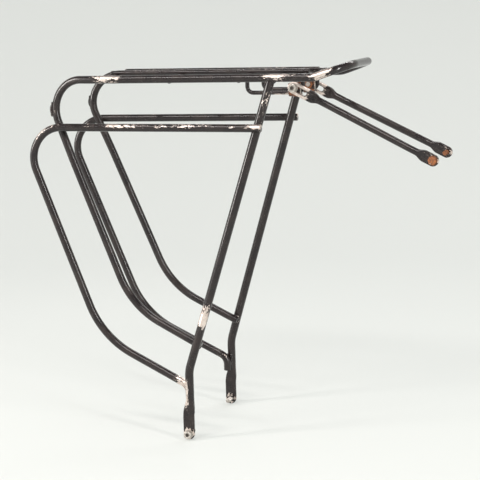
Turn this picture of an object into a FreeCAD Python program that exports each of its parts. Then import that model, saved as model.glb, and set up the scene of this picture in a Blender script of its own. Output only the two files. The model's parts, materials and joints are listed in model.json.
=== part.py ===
import FreeCAD, Part
import math
import os

from Sketcher import Constraint

# Bicycle rear rack of welded aluminium rod, for a 700C touring frame.
#
# Frame: +X forward, +Y to the bicycle's left, +Z up. The origin is midway between
# the two foot bolts, on the axis of the dropout eyelets. All sizes are millimetres.
#
# The rack is symmetric about the XZ plane. Rods that cross are lapped and welded:
# the pannier rail runs outside the main leg, and both rear stays end inside it.

os.makedirs("parts", exist_ok=True)
doc = FreeCAD.newDocument("rear_rack")
Vec = FreeCAD.Vector

# ---------------------------------------------------------------- driving sizes
DIMENSIONS = [
    # alias, value, meaning
    ("hoop_rod", 8.5, "diameter of the deck hoop"),
    ("leg_rod", 9.2, "diameter of the main legs"),
    ("rail_rod", 8.5, "diameter of the pannier rails and rear stays"),
    ("cross_rod", 6.5, "diameter of the deck's cross bars"),
    ("inner_rod", 5.5, "diameter of the deck's lengthwise inner rods"),
    ("loop_rod", 4.5, "diameter of the stay loops under the deck"),
    ("hook_rod", 3.5, "diameter of the strap hooks"),
    ("stay_rod", 7.5, "diameter of the front stays"),
    ("weld_bite", 0.5, "how deep a weld sinks one rod into the next"),
    ("deck_height", 385.0, "centre line of the deck's side rails"),
    ("deck_half", 62.0, "half the spacing of the side rails"),
    ("deck_front", 144.0, "front end of the level side rails"),
    ("deck_rear", -96.0, "where the side rails start to turn in"),
    ("nose_reach", 180.0, "front of the nose's centre line"),
    ("nose_rise", 12.0, "how far the nose kicks up"),
    ("back_bend", 33.0, "radius of the hoop's bend at the rear"),
    ("back_place", -118.6, "where the hoop's rear bend starts"),
    ("rail_height", 333.5, "centre line of the pannier rails"),
    ("rail_back_half", 61.0, "half the rail spacing where the hoop crosses them"),
    ("rail_bend", 34.7, "radius of the pannier rail's rear bend"),
    ("rail_bend_place", -142.8, "where the pannier rail's rear bend starts"),
    ("leg_top", 98.7, "the main leg's line meets the side rail here"),
    ("leg_bend", 71.0, "height where the leg turns upright"),
    ("leg_foot", 2.0, "the upright part of the leg stands here"),
    ("foot_half", 74.5, "half the spacing of the upright legs"),
    ("tab_width", 12.5, "width of a flattened rod end"),
    ("tab_thick", 3.4, "thickness of a flattened rod end"),
    ("eyelet", 5.3, "clearance hole for the fixing bolts"),
    ("bolt_shank", 5.0, "diameter of the fixing bolts' threads"),
    ("bolt_neck", 4.5, "diameter of their plain necks, about the thread's pitch diameter"),
    ("neck_proud", 0.5, "how far a neck stands out of the rod end it holds"),
    ("bolt_head", 8.5, "diameter of a socket head"),
    ("head_height", 5.0, "height of a socket head"),
    ("head_rim", 0.6, "rounding of a socket head's rim"),
    ("hex_height", 3.5, "height of a hexagon head"),
    ("washer_out", 10.0, "outside diameter of a plain washer"),
    ("washer_thick", 1.0, "thickness of a plain washer"),
    ("nut_flats", 8.0, "width across the flats of a nut or hex head"),
    ("nut_thick", 4.0, "thickness of a nut"),
    ("middle_bar", -15.0, "the middle cross bar"),
    ("rear_bar", -92.0, "the rear cross bar"),
    ("bar_drop", 0.8, "how far the cross bars lie below the side rails' centre lines"),
    ("inner_half", 21.0, "half the spacing of the inner rods"),
    ("rod_overhang", 5.0, "how far the inner rods pass the outermost cross bars"),
    ("loop_half", 30.0, "half the spacing of the stay loops"),
    ("loop_height", 367.8, "centre line of the level part of a stay loop"),
    ("loop_rear", 62.5, "rear upright of a stay loop"),
    ("loop_front", 124.0, "front upright of a stay loop"),
    ("clip_width", 14.0, "width of a stay clip along its loop"),
    ("clip_wall", 1.6, "thickness of the strip a clip is folded from"),
    ("clip_place", 115.5, "where the clips are clamped"),
    ("clip_ear", 10.6, "height of a clip's ears above its loop"),
    ("slide_gap", 0.3, "gap between a clip and its loop"),
    ("face_gap", 0.2, "gap between flat faces that slide on each other"),
    ("stay_drop", 26.9, "angle of the front stays below level"),
    ("stay_length", 166.4, "front stay, from clip bolt to frame bolt"),
    ("stay_front_half", 42.0, "half the spacing of the stays' front ends"),
    ("slot_travel", 13.0, "travel of the clip bolt along the stay's slot"),
    ("stay_flat", 22.0, "slotted flat of a stay, from the slot's rear centre"),
    ("eye_flat", 10.0, "drilled flat of a stay, from the eye's centre"),
    ("stay_taper", 9.0, "length over which a stay's end is flattened"),
    ("stay_straight", 7.0, "straight run of a stay beside each taper"),
    ("free_thread", 12.0, "thread left over for the bicycle's eyelets"),
]

sheet = doc.addObject("Spreadsheet::Sheet", "Sizes")
size = {}
for row, (alias, value, meaning) in enumerate(DIMENSIONS, start=1):
    sheet.set(f"A{row}", meaning)
    sheet.set(f"B{row}", str(value))
    sheet.setAlias(f"B{row}", alias)
doc.recompute()
for alias, _, _ in DIMENSIONS:
    size[alias] = float(sheet.get(alias))

SIDES = (("right", -1), ("left", 1))
pieces = {}


# ---------------------------------------------------------------- helpers
def bent_wire(points, radii):
    """Straight runs joined by tangent arcs, with one radius for each inner point."""
    edges = []
    start = points[0]
    for before, corner, after, radius in zip(points, points[1:], points[2:], radii):
        back = (before - corner).normalize()
        ahead = (after - corner).normalize()
        half_turn = (math.pi - back.getAngle(ahead)) / 2
        first = corner + back * (radius * math.tan(half_turn))
        last = corner + ahead * (radius * math.tan(half_turn))
        middle = corner + (back + ahead).normalize() * (radius / math.cos(half_turn) - radius)
        edges.append(Part.LineSegment(start, first).toShape())
        edges.append(Part.Arc(first, middle, last).toShape())
        start = last
    edges.append(Part.LineSegment(start, points[-1]).toShape())
    return Part.Wire(edges)


def facing(direction, across=None):
    """The rotation that turns local Z to a direction and, where given, local X across it."""
    if across is None:
        return FreeCAD.Rotation(Vec(0, 0, 1), direction)
    return FreeCAD.Rotation(across, direction.cross(across), direction, "ZXY")


def bent_rod(name, points, radii, diameter):
    """A round rod swept along a bent centre line."""
    path = doc.addObject("Part::Feature", name + "_path")
    path.Shape = bent_wire(points, radii)
    section = doc.addObject("Part::Circle", name + "_section")
    section.Placement = FreeCAD.Placement(points[0], facing(points[1] - points[0]))
    section.setExpression("Radius", f"Sizes.{diameter} / 2")
    rod = doc.addObject("Part::Sweep", name + "_rod")
    rod.Sections = [section]
    rod.Spine = (path, [f"Edge{i + 1}" for i in range(len(path.Shape.Edges))])
    rod.Solid = True
    return rod


def cylinder(name, start, direction, length, diameter):
    """A cylinder whose diameter is a cell of the sheet."""
    solid = doc.addObject("Part::Cylinder", name)
    solid.setExpression("Radius", f"Sizes.{diameter} / 2")
    solid.Height = length
    solid.Placement = FreeCAD.Placement(start, facing(direction))
    return solid


def hexagon(name, start, direction, length, flats):
    """A hexagonal prism, given its width across the flats."""
    solid = doc.addObject("Part::Prism", name)
    solid.Polygon = 6
    solid.setExpression("Circumradius", f"{flats} / 2 / cos(30 deg)")
    solid.Height = length
    solid.Placement = FreeCAD.Placement(start, facing(direction))
    return solid


def cut(name, base, tool):
    result = doc.addObject("Part::Cut", name)
    result.Base = base
    result.Tool = tool
    return result


def fuse(name, shapes):
    result = doc.addObject("Part::MultiFuse", name)
    result.Shapes = shapes
    return result


def coped(name, rod, neighbours):
    """A rod with its neighbours cut out of it, as it is filed to fit before a weld."""
    for count, neighbour in enumerate(neighbours, start=1):
        rod = cut(f"{name}_cope{count}", rod, neighbour)
    return rod


def keep(node, obj):
    """Name a finished sub-part after its node."""
    obj.Label = node
    pieces[node] = obj
    return obj


def at_height(start, end, height):
    """The point of a straight line at the given height."""
    return start + (end - start) * ((height - start.z) / (end.z - start.z))


def to_side(points, side):
    """Centre-line points of the left side, carried to either side."""
    return [Vec(p.x, p.y * side, p.z) for p in points]


def flat_end(name, place, rotation, reach, slot=0.0):
    """A flattened rod end: a plate with one round end, drilled or slotted at its origin.

    It lies in its own XZ plane, with the round end about the origin and its
    square end at x = reach. The slot, if any, runs from the origin along +x.
    """
    half = size["tab_width"] / 2
    hole = size["eyelet"] / 2
    body = doc.addObject("PartDesign::Body", name)
    origin_plane = next(f for f in body.Origin.OriginFeatures if f.Role == "XZ_Plane")
    sketch = body.newObject("Sketcher::SketchObject", name + "_outline")
    sketch.AttachmentSupport = [(origin_plane, "")]
    sketch.MapMode = "FlatFace"
    up = Vec(0, 0, 1)
    quarter = math.pi / 2
    outline = [
        Part.ArcOfCircle(Part.Circle(Vec(0, 0, 0), up, half), quarter, 3 * quarter),
        Part.LineSegment(Vec(0, -half, 0), Vec(reach, -half, 0)),
        Part.LineSegment(Vec(reach, -half, 0), Vec(reach, half, 0)),
        Part.LineSegment(Vec(reach, half, 0), Vec(0, half, 0)),
    ]
    sketch.addGeometry(outline, False)
    sketch.addConstraint([
        Constraint("Coincident", 0, 3, -1, 1),
        Constraint("Tangent", 0, 2, 1, 1),
        Constraint("Coincident", 1, 2, 2, 1),
        Constraint("Coincident", 2, 2, 3, 1),
        Constraint("Tangent", 3, 2, 0, 1),
        Constraint("Horizontal", 1),
        Constraint("Vertical", 2),
        Constraint("DistanceX", 0, 3, 2, 1, reach),
    ])
    radius = sketch.addConstraint(Constraint("Radius", 0, half))
    sketch.setExpression(f"Constraints[{radius}]", "Sizes.tab_width / 2")
    if slot:
        sketch.addGeometry([
            Part.ArcOfCircle(Part.Circle(Vec(0, 0, 0), up, hole), quarter, 3 * quarter),
            Part.LineSegment(Vec(0, -hole, 0), Vec(slot, -hole, 0)),
            Part.ArcOfCircle(Part.Circle(Vec(slot, 0, 0), up, hole), -quarter, quarter),
            Part.LineSegment(Vec(slot, hole, 0), Vec(0, hole, 0)),
        ], False)
        sketch.addConstraint([
            Constraint("Coincident", 4, 3, -1, 1),
            Constraint("Tangent", 4, 2, 5, 1),
            Constraint("Tangent", 5, 2, 6, 1),
            Constraint("Tangent", 6, 2, 7, 1),
            Constraint("Tangent", 7, 2, 4, 1),
            Constraint("Horizontal", 5),
        ])
        travel = sketch.addConstraint(Constraint("DistanceX", 4, 3, 6, 3, slot))
        sketch.setExpression(f"Constraints[{travel}]", "Sizes.slot_travel")
    else:
        sketch.addGeometry(Part.Circle(Vec(0, 0, 0), up, hole), False)
        sketch.addConstraint(Constraint("Coincident", 4, 3, -1, 1))
    bore = sketch.addConstraint(Constraint("Radius", 4, hole))
    sketch.setExpression(f"Constraints[{bore}]", "Sizes.eyelet / 2")
    pad = body.newObject("PartDesign::Pad", name + "_pad")
    pad.Profile = sketch
    pad.SideType = "Symmetric"
    pad.setExpression("Length", "Sizes.tab_thick")
    body.Placement = FreeCAD.Placement(place, rotation)
    return body


def squash(name, start, end, diameter):
    """The stretch of rod that turns from round at start to flat at end."""
    direction = (end - start).normalize()
    across = Vec(0, 1, 0).cross(direction).normalize()
    rotation = facing(direction, across)
    round_end = doc.addObject("Part::Circle", name + "_round")
    round_end.Placement = FreeCAD.Placement(start, rotation)
    round_end.setExpression("Radius", f"Sizes.{diameter} / 2")
    flat = doc.addObject("Part::Ellipse", name + "_flat")
    flat.Placement = FreeCAD.Placement(end, rotation)
    flat.setExpression("MajorRadius", "Sizes.tab_width / 2")
    flat.setExpression("MinorRadius", "Sizes.tab_thick / 2")
    loft = doc.addObject("Part::Loft", name)
    loft.Sections = [round_end, flat]
    loft.Solid = True
    loft.Ruled = True
    return loft


# ---------------------------------------------------------------- fixings
SOCKET_FLATS = 4.0
SOCKET_DEPTH = 2.6
CROWN_FOOT = 2.3    # the crown's cone is this much wider than the flats at its foot
CROWN_TOP = 0.2     # and this much narrower at its top
NUT_SLACK = 0.05    # radial room between a nut and its thread


def shank_parts(node, under_head, inward, neck, thread):
    """A bolt's plain neck, if it has one, and the threaded end beyond it."""
    parts = [cylinder(node + "_thread", under_head + inward * neck, inward, thread, "bolt_shank")]
    if neck:
        parts.append(cylinder(node + "_neck", under_head, inward, neck, "bolt_neck"))
    return parts


def socket_bolt(node, under_head, outward, neck, thread):
    """A socket-head bolt, given the lengths of its plain neck and of its thread."""
    head = cylinder(node + "_head", under_head, outward, size["head_height"], "bolt_head")
    rim = doc.addObject("Part::Fillet", node + "_rim")
    rim.Base = head
    doc.recompute()
    top = under_head + outward * size["head_height"]
    edge = next(i for i, e in enumerate(head.Shape.Edges, start=1)
                if e.Closed and (e.CenterOfMass - top).Length < 0.1)
    rim.Edges = [(edge, size["head_rim"], size["head_rim"])]
    socket = hexagon(node + "_socket", top - outward * SOCKET_DEPTH, outward,
                     SOCKET_DEPTH + 1, SOCKET_FLATS)
    shank = shank_parts(node, under_head, outward * -1, neck, thread)
    return keep(node, fuse(node, [cut(node + "_drive", rim, socket)] + shank))


def hex_bolt(node, under_head, outward, neck, thread):
    """A hexagon-head bolt with its corners turned down."""
    head = hexagon(node + "_hex", under_head, outward, size["hex_height"], "Sizes.nut_flats")
    crown = doc.addObject("Part::Cone", node + "_crown")
    crown.Radius1 = size["nut_flats"] / 2 + CROWN_FOOT
    crown.Radius2 = size["nut_flats"] / 2 - CROWN_TOP
    crown.Height = size["hex_height"]
    crown.Placement = FreeCAD.Placement(under_head, facing(outward))
    trimmed = doc.addObject("Part::Common", node + "_trimmed")
    trimmed.Base = head
    trimmed.Tool = crown
    shank = shank_parts(node, under_head, outward * -1, neck, thread)
    return keep(node, fuse(node, [trimmed] + shank))


def washer(node, inner_face, outward):
    disc = cylinder(node + "_disc", inner_face, outward, size["washer_thick"], "washer_out")
    hole = cylinder(node + "_hole", inner_face - outward, outward, size["washer_thick"] + 2, "eyelet")
    return keep(node, cut(node, disc, hole))


def nut(node, face, outward):
    """A nut whose seat is at face and that grows outward."""
    body = hexagon(node + "_hex", face, outward, size["nut_thick"], "Sizes.nut_flats")
    thread = doc.addObject("Part::Cylinder", node + "_thread")
    thread.setExpression("Radius", f"Sizes.bolt_shank / 2 + {NUT_SLACK}")
    thread.Height = size["nut_thick"] + 2
    thread.Placement = FreeCAD.Placement(face - outward, facing(outward))
    return keep(node, cut(node, body, thread))


# ---------------------------------------------------------------- centre lines, left side
hoop_radius = size["hoop_rod"] / 2
leg_radius = size["leg_rod"] / 2
rail_radius = size["rail_rod"] / 2
hoop_lap = hoop_radius + rail_radius - size["weld_bite"]    # centres of two lapped rods
leg_lap = leg_radius + rail_radius - size["weld_bite"]

deck_height = size["deck_height"]
deck_half = size["deck_half"]
rail_height = size["rail_height"]
back_lean = 0.41            # forward run of the rear stay for each unit of drop
rail_lean = 0.395           # the same for the outer stay
back_turn = math.pi / 2 + math.atan(back_lean)
rail_turn = math.pi / 2 + math.atan(rail_lean)
hoop_back_half = 48.5       # half the spacing of the hoop's rear bends

leg_head = Vec(size["leg_top"], deck_half, deck_height)
leg_corner = Vec(size["leg_foot"], size["foot_half"], size["leg_bend"])
round_foot = 38.0           # the leg is round down to this height
flat_foot = 24.0            # and flat from here
tab_overlap = 2.0           # a flat end runs this far into its taper

hoop_corner = Vec(size["back_place"] - size["back_bend"] * math.tan(back_turn / 2),
                  hoop_back_half, deck_height - 0.3)
stay_split = 320.0          # the hoop is welded to the rear stay at this height


def rear_stay_point(height, half):
    return Vec(hoop_corner.x + back_lean * (hoop_corner.z - height), half, height)


# The hoop touches the inside of the pannier rail where it crosses it.
crossing = rear_stay_point(rail_height, size["rail_back_half"])
hoop_spread = (crossing.y - hoop_lap - hoop_back_half) / (hoop_corner.z - crossing.z)
hoop_end_half = hoop_back_half + hoop_spread * (hoop_corner.z - stay_split)

hoop_points = [
    Vec(size["nose_reach"], 0, deck_height + size["nose_rise"]),
    Vec(size["nose_reach"], deck_half, deck_height + size["nose_rise"]),
    Vec(size["deck_front"], deck_half, deck_height),
    Vec(size["deck_rear"], deck_half, deck_height),
    hoop_corner,
    rear_stay_point(stay_split, hoop_end_half),
]
hoop_radii = [33.0, 25.0, 80.0, size["back_bend"]]

hoop_end = hoop_points[-1]
rear_stay_weld = at_height(leg_head, leg_corner, 98.0)
rear_stay_points = [
    hoop_end,
    hoop_end + (hoop_end - hoop_corner).normalize() * 25.0,
    rear_stay_point(136.4, 62.0),
    Vec(rear_stay_weld.x + 3.0, rear_stay_weld.y - leg_lap, rear_stay_weld.z - 1.5),
]
rear_stay_radii = [200.0, 95.0]

rail_weld = at_height(leg_head, leg_corner, rail_height)
rail_front = Vec(rail_weld.x + 6.5, rail_weld.y + leg_lap, rail_height)
rail_taper = (rail_front.y - crossing.y) / (rail_front.x - crossing.x)
rail_corner_x = size["rail_bend_place"] - size["rail_bend"] * math.tan(rail_turn / 2)
rail_corner = Vec(rail_corner_x, crossing.y - rail_taper * (crossing.x - rail_corner_x), rail_height)


def outer_stay_point(height, half):
    return Vec(rail_corner.x + rail_lean * (rail_corner.z - height), half, height)


rail_split = 262.0          # the pannier rail is welded to the outer stay here
split_point = outer_stay_point(rail_split, rail_corner.y + 2.0)
rail_points = [
    rail_front,
    rail_corner,
    split_point,
]
rail_radii = [size["rail_bend"]]

outer_corner = outer_stay_point(101.4, 64.8)
foot_step = 3.0             # the outer stay ends this far behind the leg
outer_foot = Vec(leg_corner.x - foot_step, leg_corner.y - math.sqrt(leg_lap**2 - foot_step**2), 36.0)
outer_stay_points = [
    split_point,
    split_point + (split_point - rail_corner).normalize() * 25.0,
    outer_corner,
    Vec(outer_foot.x, outer_foot.y, 51.6),
    outer_foot,
]
outer_stay_radii = [200.0, 100.0, 13.0]

# ---------------------------------------------------------------- deck
right_half = to_side(hoop_points, -1)
hoop = bent_rod("deck_hoop", right_half[:0:-1] + hoop_points[1:],
                hoop_radii[::-1] + hoop_radii, "hoop_rod")
keep("deck_hoop", hoop)

cross_height = deck_height - size["bar_drop"]
bar_inset = 1.5             # the cross bars' raw ends stop this far short of the rails' centres
bar_places = {
    "front_cross_bar": size["loop_front"],
    "loop_cross_bar": size["loop_rear"],
    "middle_cross_bar": size["middle_bar"],
    "rear_cross_bar": size["rear_bar"],
}
cross_bars = {}
for node, place in bar_places.items():
    half = deck_half - bar_inset
    bar = cylinder(node + "_rod", Vec(place, -half, cross_height), Vec(0, 1, 0), 2 * half, "cross_rod")
    cross_bars[node] = keep(node, coped(node, bar, [hoop]))

inner_height = cross_height + (size["cross_rod"] + size["inner_rod"]) / 2 - size["weld_bite"]
for label, side in SIDES:
    node = f"inner_deck_rod_{label}"
    start = Vec(size["rear_bar"] - size["rod_overhang"], size["inner_half"] * side, inner_height)
    length = size["loop_front"] + size["rod_overhang"] - start.x
    rod = cylinder(node + "_rod", start, Vec(1, 0, 0), length, "inner_rod")
    keep(node, coped(node, rod, list(cross_bars.values())))

# ---------------------------------------------------------------- legs, rails and stays
loop_back = size["back_place"] - size["back_bend"]
loop_half = size["loop_half"]
loop_height = size["loop_height"]
weld_depth = 1.5            # loop ends and hook ends are coped from this deep inside their rod

for label, side in SIDES:
    node = f"main_leg_{label}"
    head_start = at_height(leg_head, leg_corner, deck_height - 2.0)
    foot_centre = Vec(leg_corner.x, leg_corner.y * side, 0)
    round_end = foot_centre + Vec(0, 0, round_foot)
    flat_start = foot_centre + Vec(0, 0, flat_foot)
    points = to_side([head_start, leg_corner], side) + [round_end]
    shaft = bent_rod(node, points, [40.0], "leg_rod")
    tab = flat_end(node + "_tab", Vec(0, leg_corner.y * side, 0),
                   FreeCAD.Rotation(Vec(0, 1, 0), -90), flat_foot + tab_overlap)
    taper = squash(node + "_taper", round_end, flat_start, "leg_rod")
    leg = keep(node, coped(node, fuse(node + "_whole", [shaft, taper, tab]), [hoop]))

    node = f"pannier_rail_{label}"
    rail = bent_rod(node, to_side(rail_points, side), rail_radii, "rail_rod")
    keep(node, coped(node, rail, [hoop, leg]))

    node = f"outer_stay_{label}"
    stay = bent_rod(node, to_side(outer_stay_points, side), outer_stay_radii, "rail_rod")
    keep(node, coped(node, stay, [leg]))

    node = f"rear_stay_{label}"
    stay = bent_rod(node, to_side(rear_stay_points, side), rear_stay_radii, "rail_rod")
    keep(node, coped(node, stay, [leg]))

    node = f"strap_hook_{label}"
    hook_points = [
        Vec(loop_back + weld_depth, 52.0, 363.0),
        Vec(loop_back - 9.2, 53.0, 352.5),
        Vec(loop_back + weld_depth + 1.0, 54.5, 342.0),
    ]
    hook = bent_rod(node, to_side(hook_points, side), [9.0], "hook_rod")
    keep(node, coped(node, hook, [hoop]))

    node = f"stay_loop_{label}"
    loop_points = [
        Vec(size["loop_rear"], loop_half, cross_height - weld_depth),
        Vec(size["loop_rear"], loop_half, loop_height),
        Vec(size["loop_front"], loop_half, loop_height),
        Vec(size["loop_front"], loop_half, cross_height - weld_depth),
    ]
    loop = bent_rod(node, to_side(loop_points, side), [6.5, 6.5], "loop_rod")
    keep(node, coped(node, loop, [cross_bars["loop_cross_bar"], cross_bars["front_cross_bar"]]))

# ---------------------------------------------------------------- stay clips
loop_radius = size["loop_rod"] / 2
clip_inner = loop_radius + size["slide_gap"]
clip_outer = clip_inner + size["clip_wall"]
bolt_rise = clip_inner + size["bolt_shank"] / 2 + size["slide_gap"]
bolt_height = loop_height + bolt_rise


def stay_clip(node, side):
    """A strip folded into a U about the loop, drilled through both ears."""
    body = doc.addObject("PartDesign::Body", node + "_strip")
    plane = next(f for f in body.Origin.OriginFeatures if f.Role == "YZ_Plane")
    sketch = body.newObject("Sketcher::SketchObject", node + "_profile")
    sketch.AttachmentSupport = [(plane, "")]
    sketch.MapMode = "FlatFace"
    up = Vec(0, 0, 1)
    ear = size["clip_ear"]
    corners = [(-clip_inner, 0), (-clip_inner, ear), (-clip_outer, ear), (-clip_outer, 0),
               (clip_outer, 0), (clip_outer, ear), (clip_inner, ear), (clip_inner, 0)]
    spots = [Vec(x, y, 0) for x, y in corners]
    sketch.addGeometry([
        Part.LineSegment(spots[0], spots[1]),
        Part.LineSegment(spots[1], spots[2]),
        Part.LineSegment(spots[2], spots[3]),
        Part.ArcOfCircle(Part.Circle(Vec(0, 0, 0), up, clip_outer), math.pi, 2 * math.pi),
        Part.LineSegment(spots[4], spots[5]),
        Part.LineSegment(spots[5], spots[6]),
        Part.LineSegment(spots[6], spots[7]),
        Part.ArcOfCircle(Part.Circle(Vec(0, 0, 0), up, clip_inner), math.pi, 2 * math.pi),
    ], False)
    sketch.addConstraint([
        Constraint("Coincident", 0, 2, 1, 1),
        Constraint("Coincident", 1, 2, 2, 1),
        Constraint("Coincident", 4, 2, 5, 1),
        Constraint("Coincident", 5, 2, 6, 1),
        Constraint("Coincident", 3, 3, -1, 1),
        Constraint("Coincident", 7, 3, -1, 1),
        Constraint("Tangent", 2, 2, 3, 1),
        Constraint("Tangent", 3, 2, 4, 1),
        Constraint("Tangent", 6, 2, 7, 2),
        Constraint("Tangent", 7, 1, 0, 1),
        Constraint("Horizontal", 1),
        Constraint("Horizontal", 5),
    ])
    outer = sketch.addConstraint(Constraint("Radius", 3, clip_outer))
    inner = sketch.addConstraint(Constraint("Radius", 7, clip_inner))
    sketch.setExpression(f"Constraints[{inner}]", "Sizes.loop_rod / 2 + Sizes.slide_gap")
    sketch.setExpression(f"Constraints[{outer}]",
                         "Sizes.loop_rod / 2 + Sizes.slide_gap + Sizes.clip_wall")
    for line, end in ((1, 1), (5, 1)):
        rise = sketch.addConstraint(Constraint("DistanceY", 3, 3, line, end, ear))
        sketch.setExpression(f"Constraints[{rise}]", "Sizes.clip_ear")
    pad = body.newObject("PartDesign::Pad", node + "_pad")
    pad.Profile = sketch
    pad.SideType = "Symmetric"
    pad.setExpression("Length", "Sizes.clip_width")
    centre = Vec(size["clip_place"], loop_half * side, loop_height)
    body.Placement = FreeCAD.Placement(centre, FreeCAD.Rotation())
    drill = cylinder(node + "_drill", centre + Vec(0, -10, bolt_rise), Vec(0, 1, 0), 20.0, "eyelet")
    return keep(node, cut(node, body, drill))


# ---------------------------------------------------------------- front stays and fixings
drop = math.radians(size["stay_drop"])
down_line = Vec(math.cos(drop), 0, -math.sin(drop))
gap = size["face_gap"]
tab_half = size["tab_thick"] / 2
clip_face = loop_half + clip_outer
stay_half = clip_face + gap + tab_half
front_half = size["stay_front_half"]
thread_past_nut = 1.5
grip = size["washer_thick"] + size["tab_thick"] + size["neck_proud"]

for label, side in SIDES:
    out = Vec(0, side, 0)
    clip = stay_clip(f"stay_clip_{label}", side)
    bolt_line = Vec(size["clip_place"], 0, bolt_height)
    washer_face = stay_half + tab_half + gap
    head_face = washer_face + size["washer_thick"] + gap
    nut_face = loop_half - clip_outer
    washer(f"clip_washer_{label}", bolt_line + out * washer_face, out)
    socket_bolt(f"clip_bolt_{label}", bolt_line + out * head_face, out, 0,
                head_face - nut_face + size["nut_thick"] + thread_past_nut)
    nut(f"clip_nut_{label}", bolt_line + out * nut_face, out * -1)

    node = f"front_stay_{label}"

    def along_stay(distance, half):
        return bolt_line + down_line * distance + Vec(0, half * side, 0)

    length = size["stay_length"]
    round_from = size["stay_flat"] + size["stay_taper"]
    round_to = length - size["eye_flat"] - size["stay_taper"]
    straight = size["stay_straight"]
    turned = FreeCAD.Rotation(Vec(0, 1, 0), size["stay_drop"])
    turned_back = FreeCAD.Rotation(Vec(0, 1, 0), size["stay_drop"] + 180)
    slotted = flat_end(node + "_slotted", along_stay(0, stay_half), turned,
                       size["stay_flat"] + tab_overlap, size["slot_travel"])
    eye = flat_end(node + "_eye", along_stay(length, front_half), turned_back,
                   size["eye_flat"] + tab_overlap)
    shaft_points = [
        along_stay(round_from, stay_half),
        along_stay(round_from + straight, stay_half),
        along_stay(round_to - straight, front_half),
        along_stay(round_to, front_half),
    ]
    shaft = bent_rod(node, shaft_points, [60.0, 60.0], "stay_rod")
    rear_taper = squash(node + "_rear_taper", shaft_points[0],
                        along_stay(size["stay_flat"], stay_half), "stay_rod")
    front_taper = squash(node + "_front_taper", shaft_points[-1],
                         along_stay(length - size["eye_flat"], front_half), "stay_rod")
    keep(node, fuse(node, [slotted, rear_taper, shaft, front_taper, eye]))

    frame_line = bolt_line + down_line * length
    washer(f"frame_washer_{label}", frame_line + out * (front_half + tab_half), out)
    hex_bolt(f"frame_bolt_{label}",
             frame_line + out * (front_half + tab_half + size["washer_thick"]), out,
             grip, size["free_thread"])

    foot_face = size["foot_half"] + tab_half
    washer(f"foot_washer_{label}", out * foot_face, out)
    socket_bolt(f"foot_bolt_{label}", out * (foot_face + size["washer_thick"]), out,
                grip, size["free_thread"])

# ---------------------------------------------------------------- check and write
doc.recompute()
bad = [o.Name for o in doc.Objects if "Invalid" in o.State or "Error" in o.State]
if bad:
    raise RuntimeError(f"these objects failed: {bad}")
for node, obj in pieces.items():
    shape = obj.Shape
    if shape.isNull() or not shape.isValid() or len(shape.Solids) != 1:
        raise RuntimeError(f"{node} has no single valid solid: {len(shape.Solids)} solids")
for node, obj in pieces.items():
    obj.Shape.exportStep(f"parts/{node}.step")
    box = obj.Shape.BoundBox
    print(f"{node:24s} {obj.Shape.Volume:9.0f} mm3   x {box.XMin:7.1f} {box.XMax:7.1f}"
          f"   y {box.YMin:7.1f} {box.YMax:7.1f}   z {box.ZMin:7.1f} {box.ZMax:7.1f}")
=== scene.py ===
import json
import math

import bmesh
import bpy
import numpy as np
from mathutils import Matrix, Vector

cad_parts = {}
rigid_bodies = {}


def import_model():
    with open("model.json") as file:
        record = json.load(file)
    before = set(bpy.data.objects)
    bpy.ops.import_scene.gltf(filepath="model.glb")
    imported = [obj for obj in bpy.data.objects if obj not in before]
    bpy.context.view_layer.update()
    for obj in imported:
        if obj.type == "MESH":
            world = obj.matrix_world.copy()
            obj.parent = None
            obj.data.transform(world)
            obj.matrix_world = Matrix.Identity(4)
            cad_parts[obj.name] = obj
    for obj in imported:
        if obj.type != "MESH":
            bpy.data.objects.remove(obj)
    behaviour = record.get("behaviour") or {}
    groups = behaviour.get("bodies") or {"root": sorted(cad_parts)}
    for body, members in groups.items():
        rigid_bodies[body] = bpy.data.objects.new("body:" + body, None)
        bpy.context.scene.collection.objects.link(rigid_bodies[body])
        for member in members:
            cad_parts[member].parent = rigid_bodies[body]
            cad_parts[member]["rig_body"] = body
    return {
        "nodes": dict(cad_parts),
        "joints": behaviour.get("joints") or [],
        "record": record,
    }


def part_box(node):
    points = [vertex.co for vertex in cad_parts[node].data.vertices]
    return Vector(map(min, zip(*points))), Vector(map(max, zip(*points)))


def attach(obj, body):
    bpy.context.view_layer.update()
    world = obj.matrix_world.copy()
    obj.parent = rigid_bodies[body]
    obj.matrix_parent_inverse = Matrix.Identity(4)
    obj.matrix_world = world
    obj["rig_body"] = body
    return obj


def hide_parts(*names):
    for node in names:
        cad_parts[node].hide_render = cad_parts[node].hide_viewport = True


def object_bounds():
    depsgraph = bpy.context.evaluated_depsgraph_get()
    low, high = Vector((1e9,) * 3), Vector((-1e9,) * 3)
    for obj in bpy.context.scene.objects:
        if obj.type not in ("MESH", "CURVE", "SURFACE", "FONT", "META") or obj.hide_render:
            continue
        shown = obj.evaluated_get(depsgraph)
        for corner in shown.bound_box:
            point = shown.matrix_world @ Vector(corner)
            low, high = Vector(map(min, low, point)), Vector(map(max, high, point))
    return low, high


bl_info = {
    "name": "Bicycle rear rack",
    "version": (1, 0, 0),
    "blender": (4, 5, 0),
    "location": "View3D > Sidebar > Rack",
    "description": "Builds the finished rods, welds, clips and fixings of a touring rear rack",
    "category": "Object",
}

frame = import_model()
CAD_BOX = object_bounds()
SLOTS = {part["node"]: part["material_slot"] for part in frame["record"]["subparts"]}
JOINTS = {joint["name"]: joint for joint in frame["joints"]}

MM = 0.001
SIDES = (("right", -1), ("left", 1))
UP = np.array([0.0, 0.0, 1.0])
FORWARD = np.array([1.0, 0.0, 0.0])
LEFTWARD = np.array([0.0, 1.0, 0.0])


# ---------------------------------------------------------------- the frame's landmarks
def low(node):
    return np.array(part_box(node)[0], float)


def high(node):
    return np.array(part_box(node)[1], float)


def middle(node):
    return (low(node) + high(node)) / 2


def extent(node):
    return high(node) - low(node)


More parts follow.
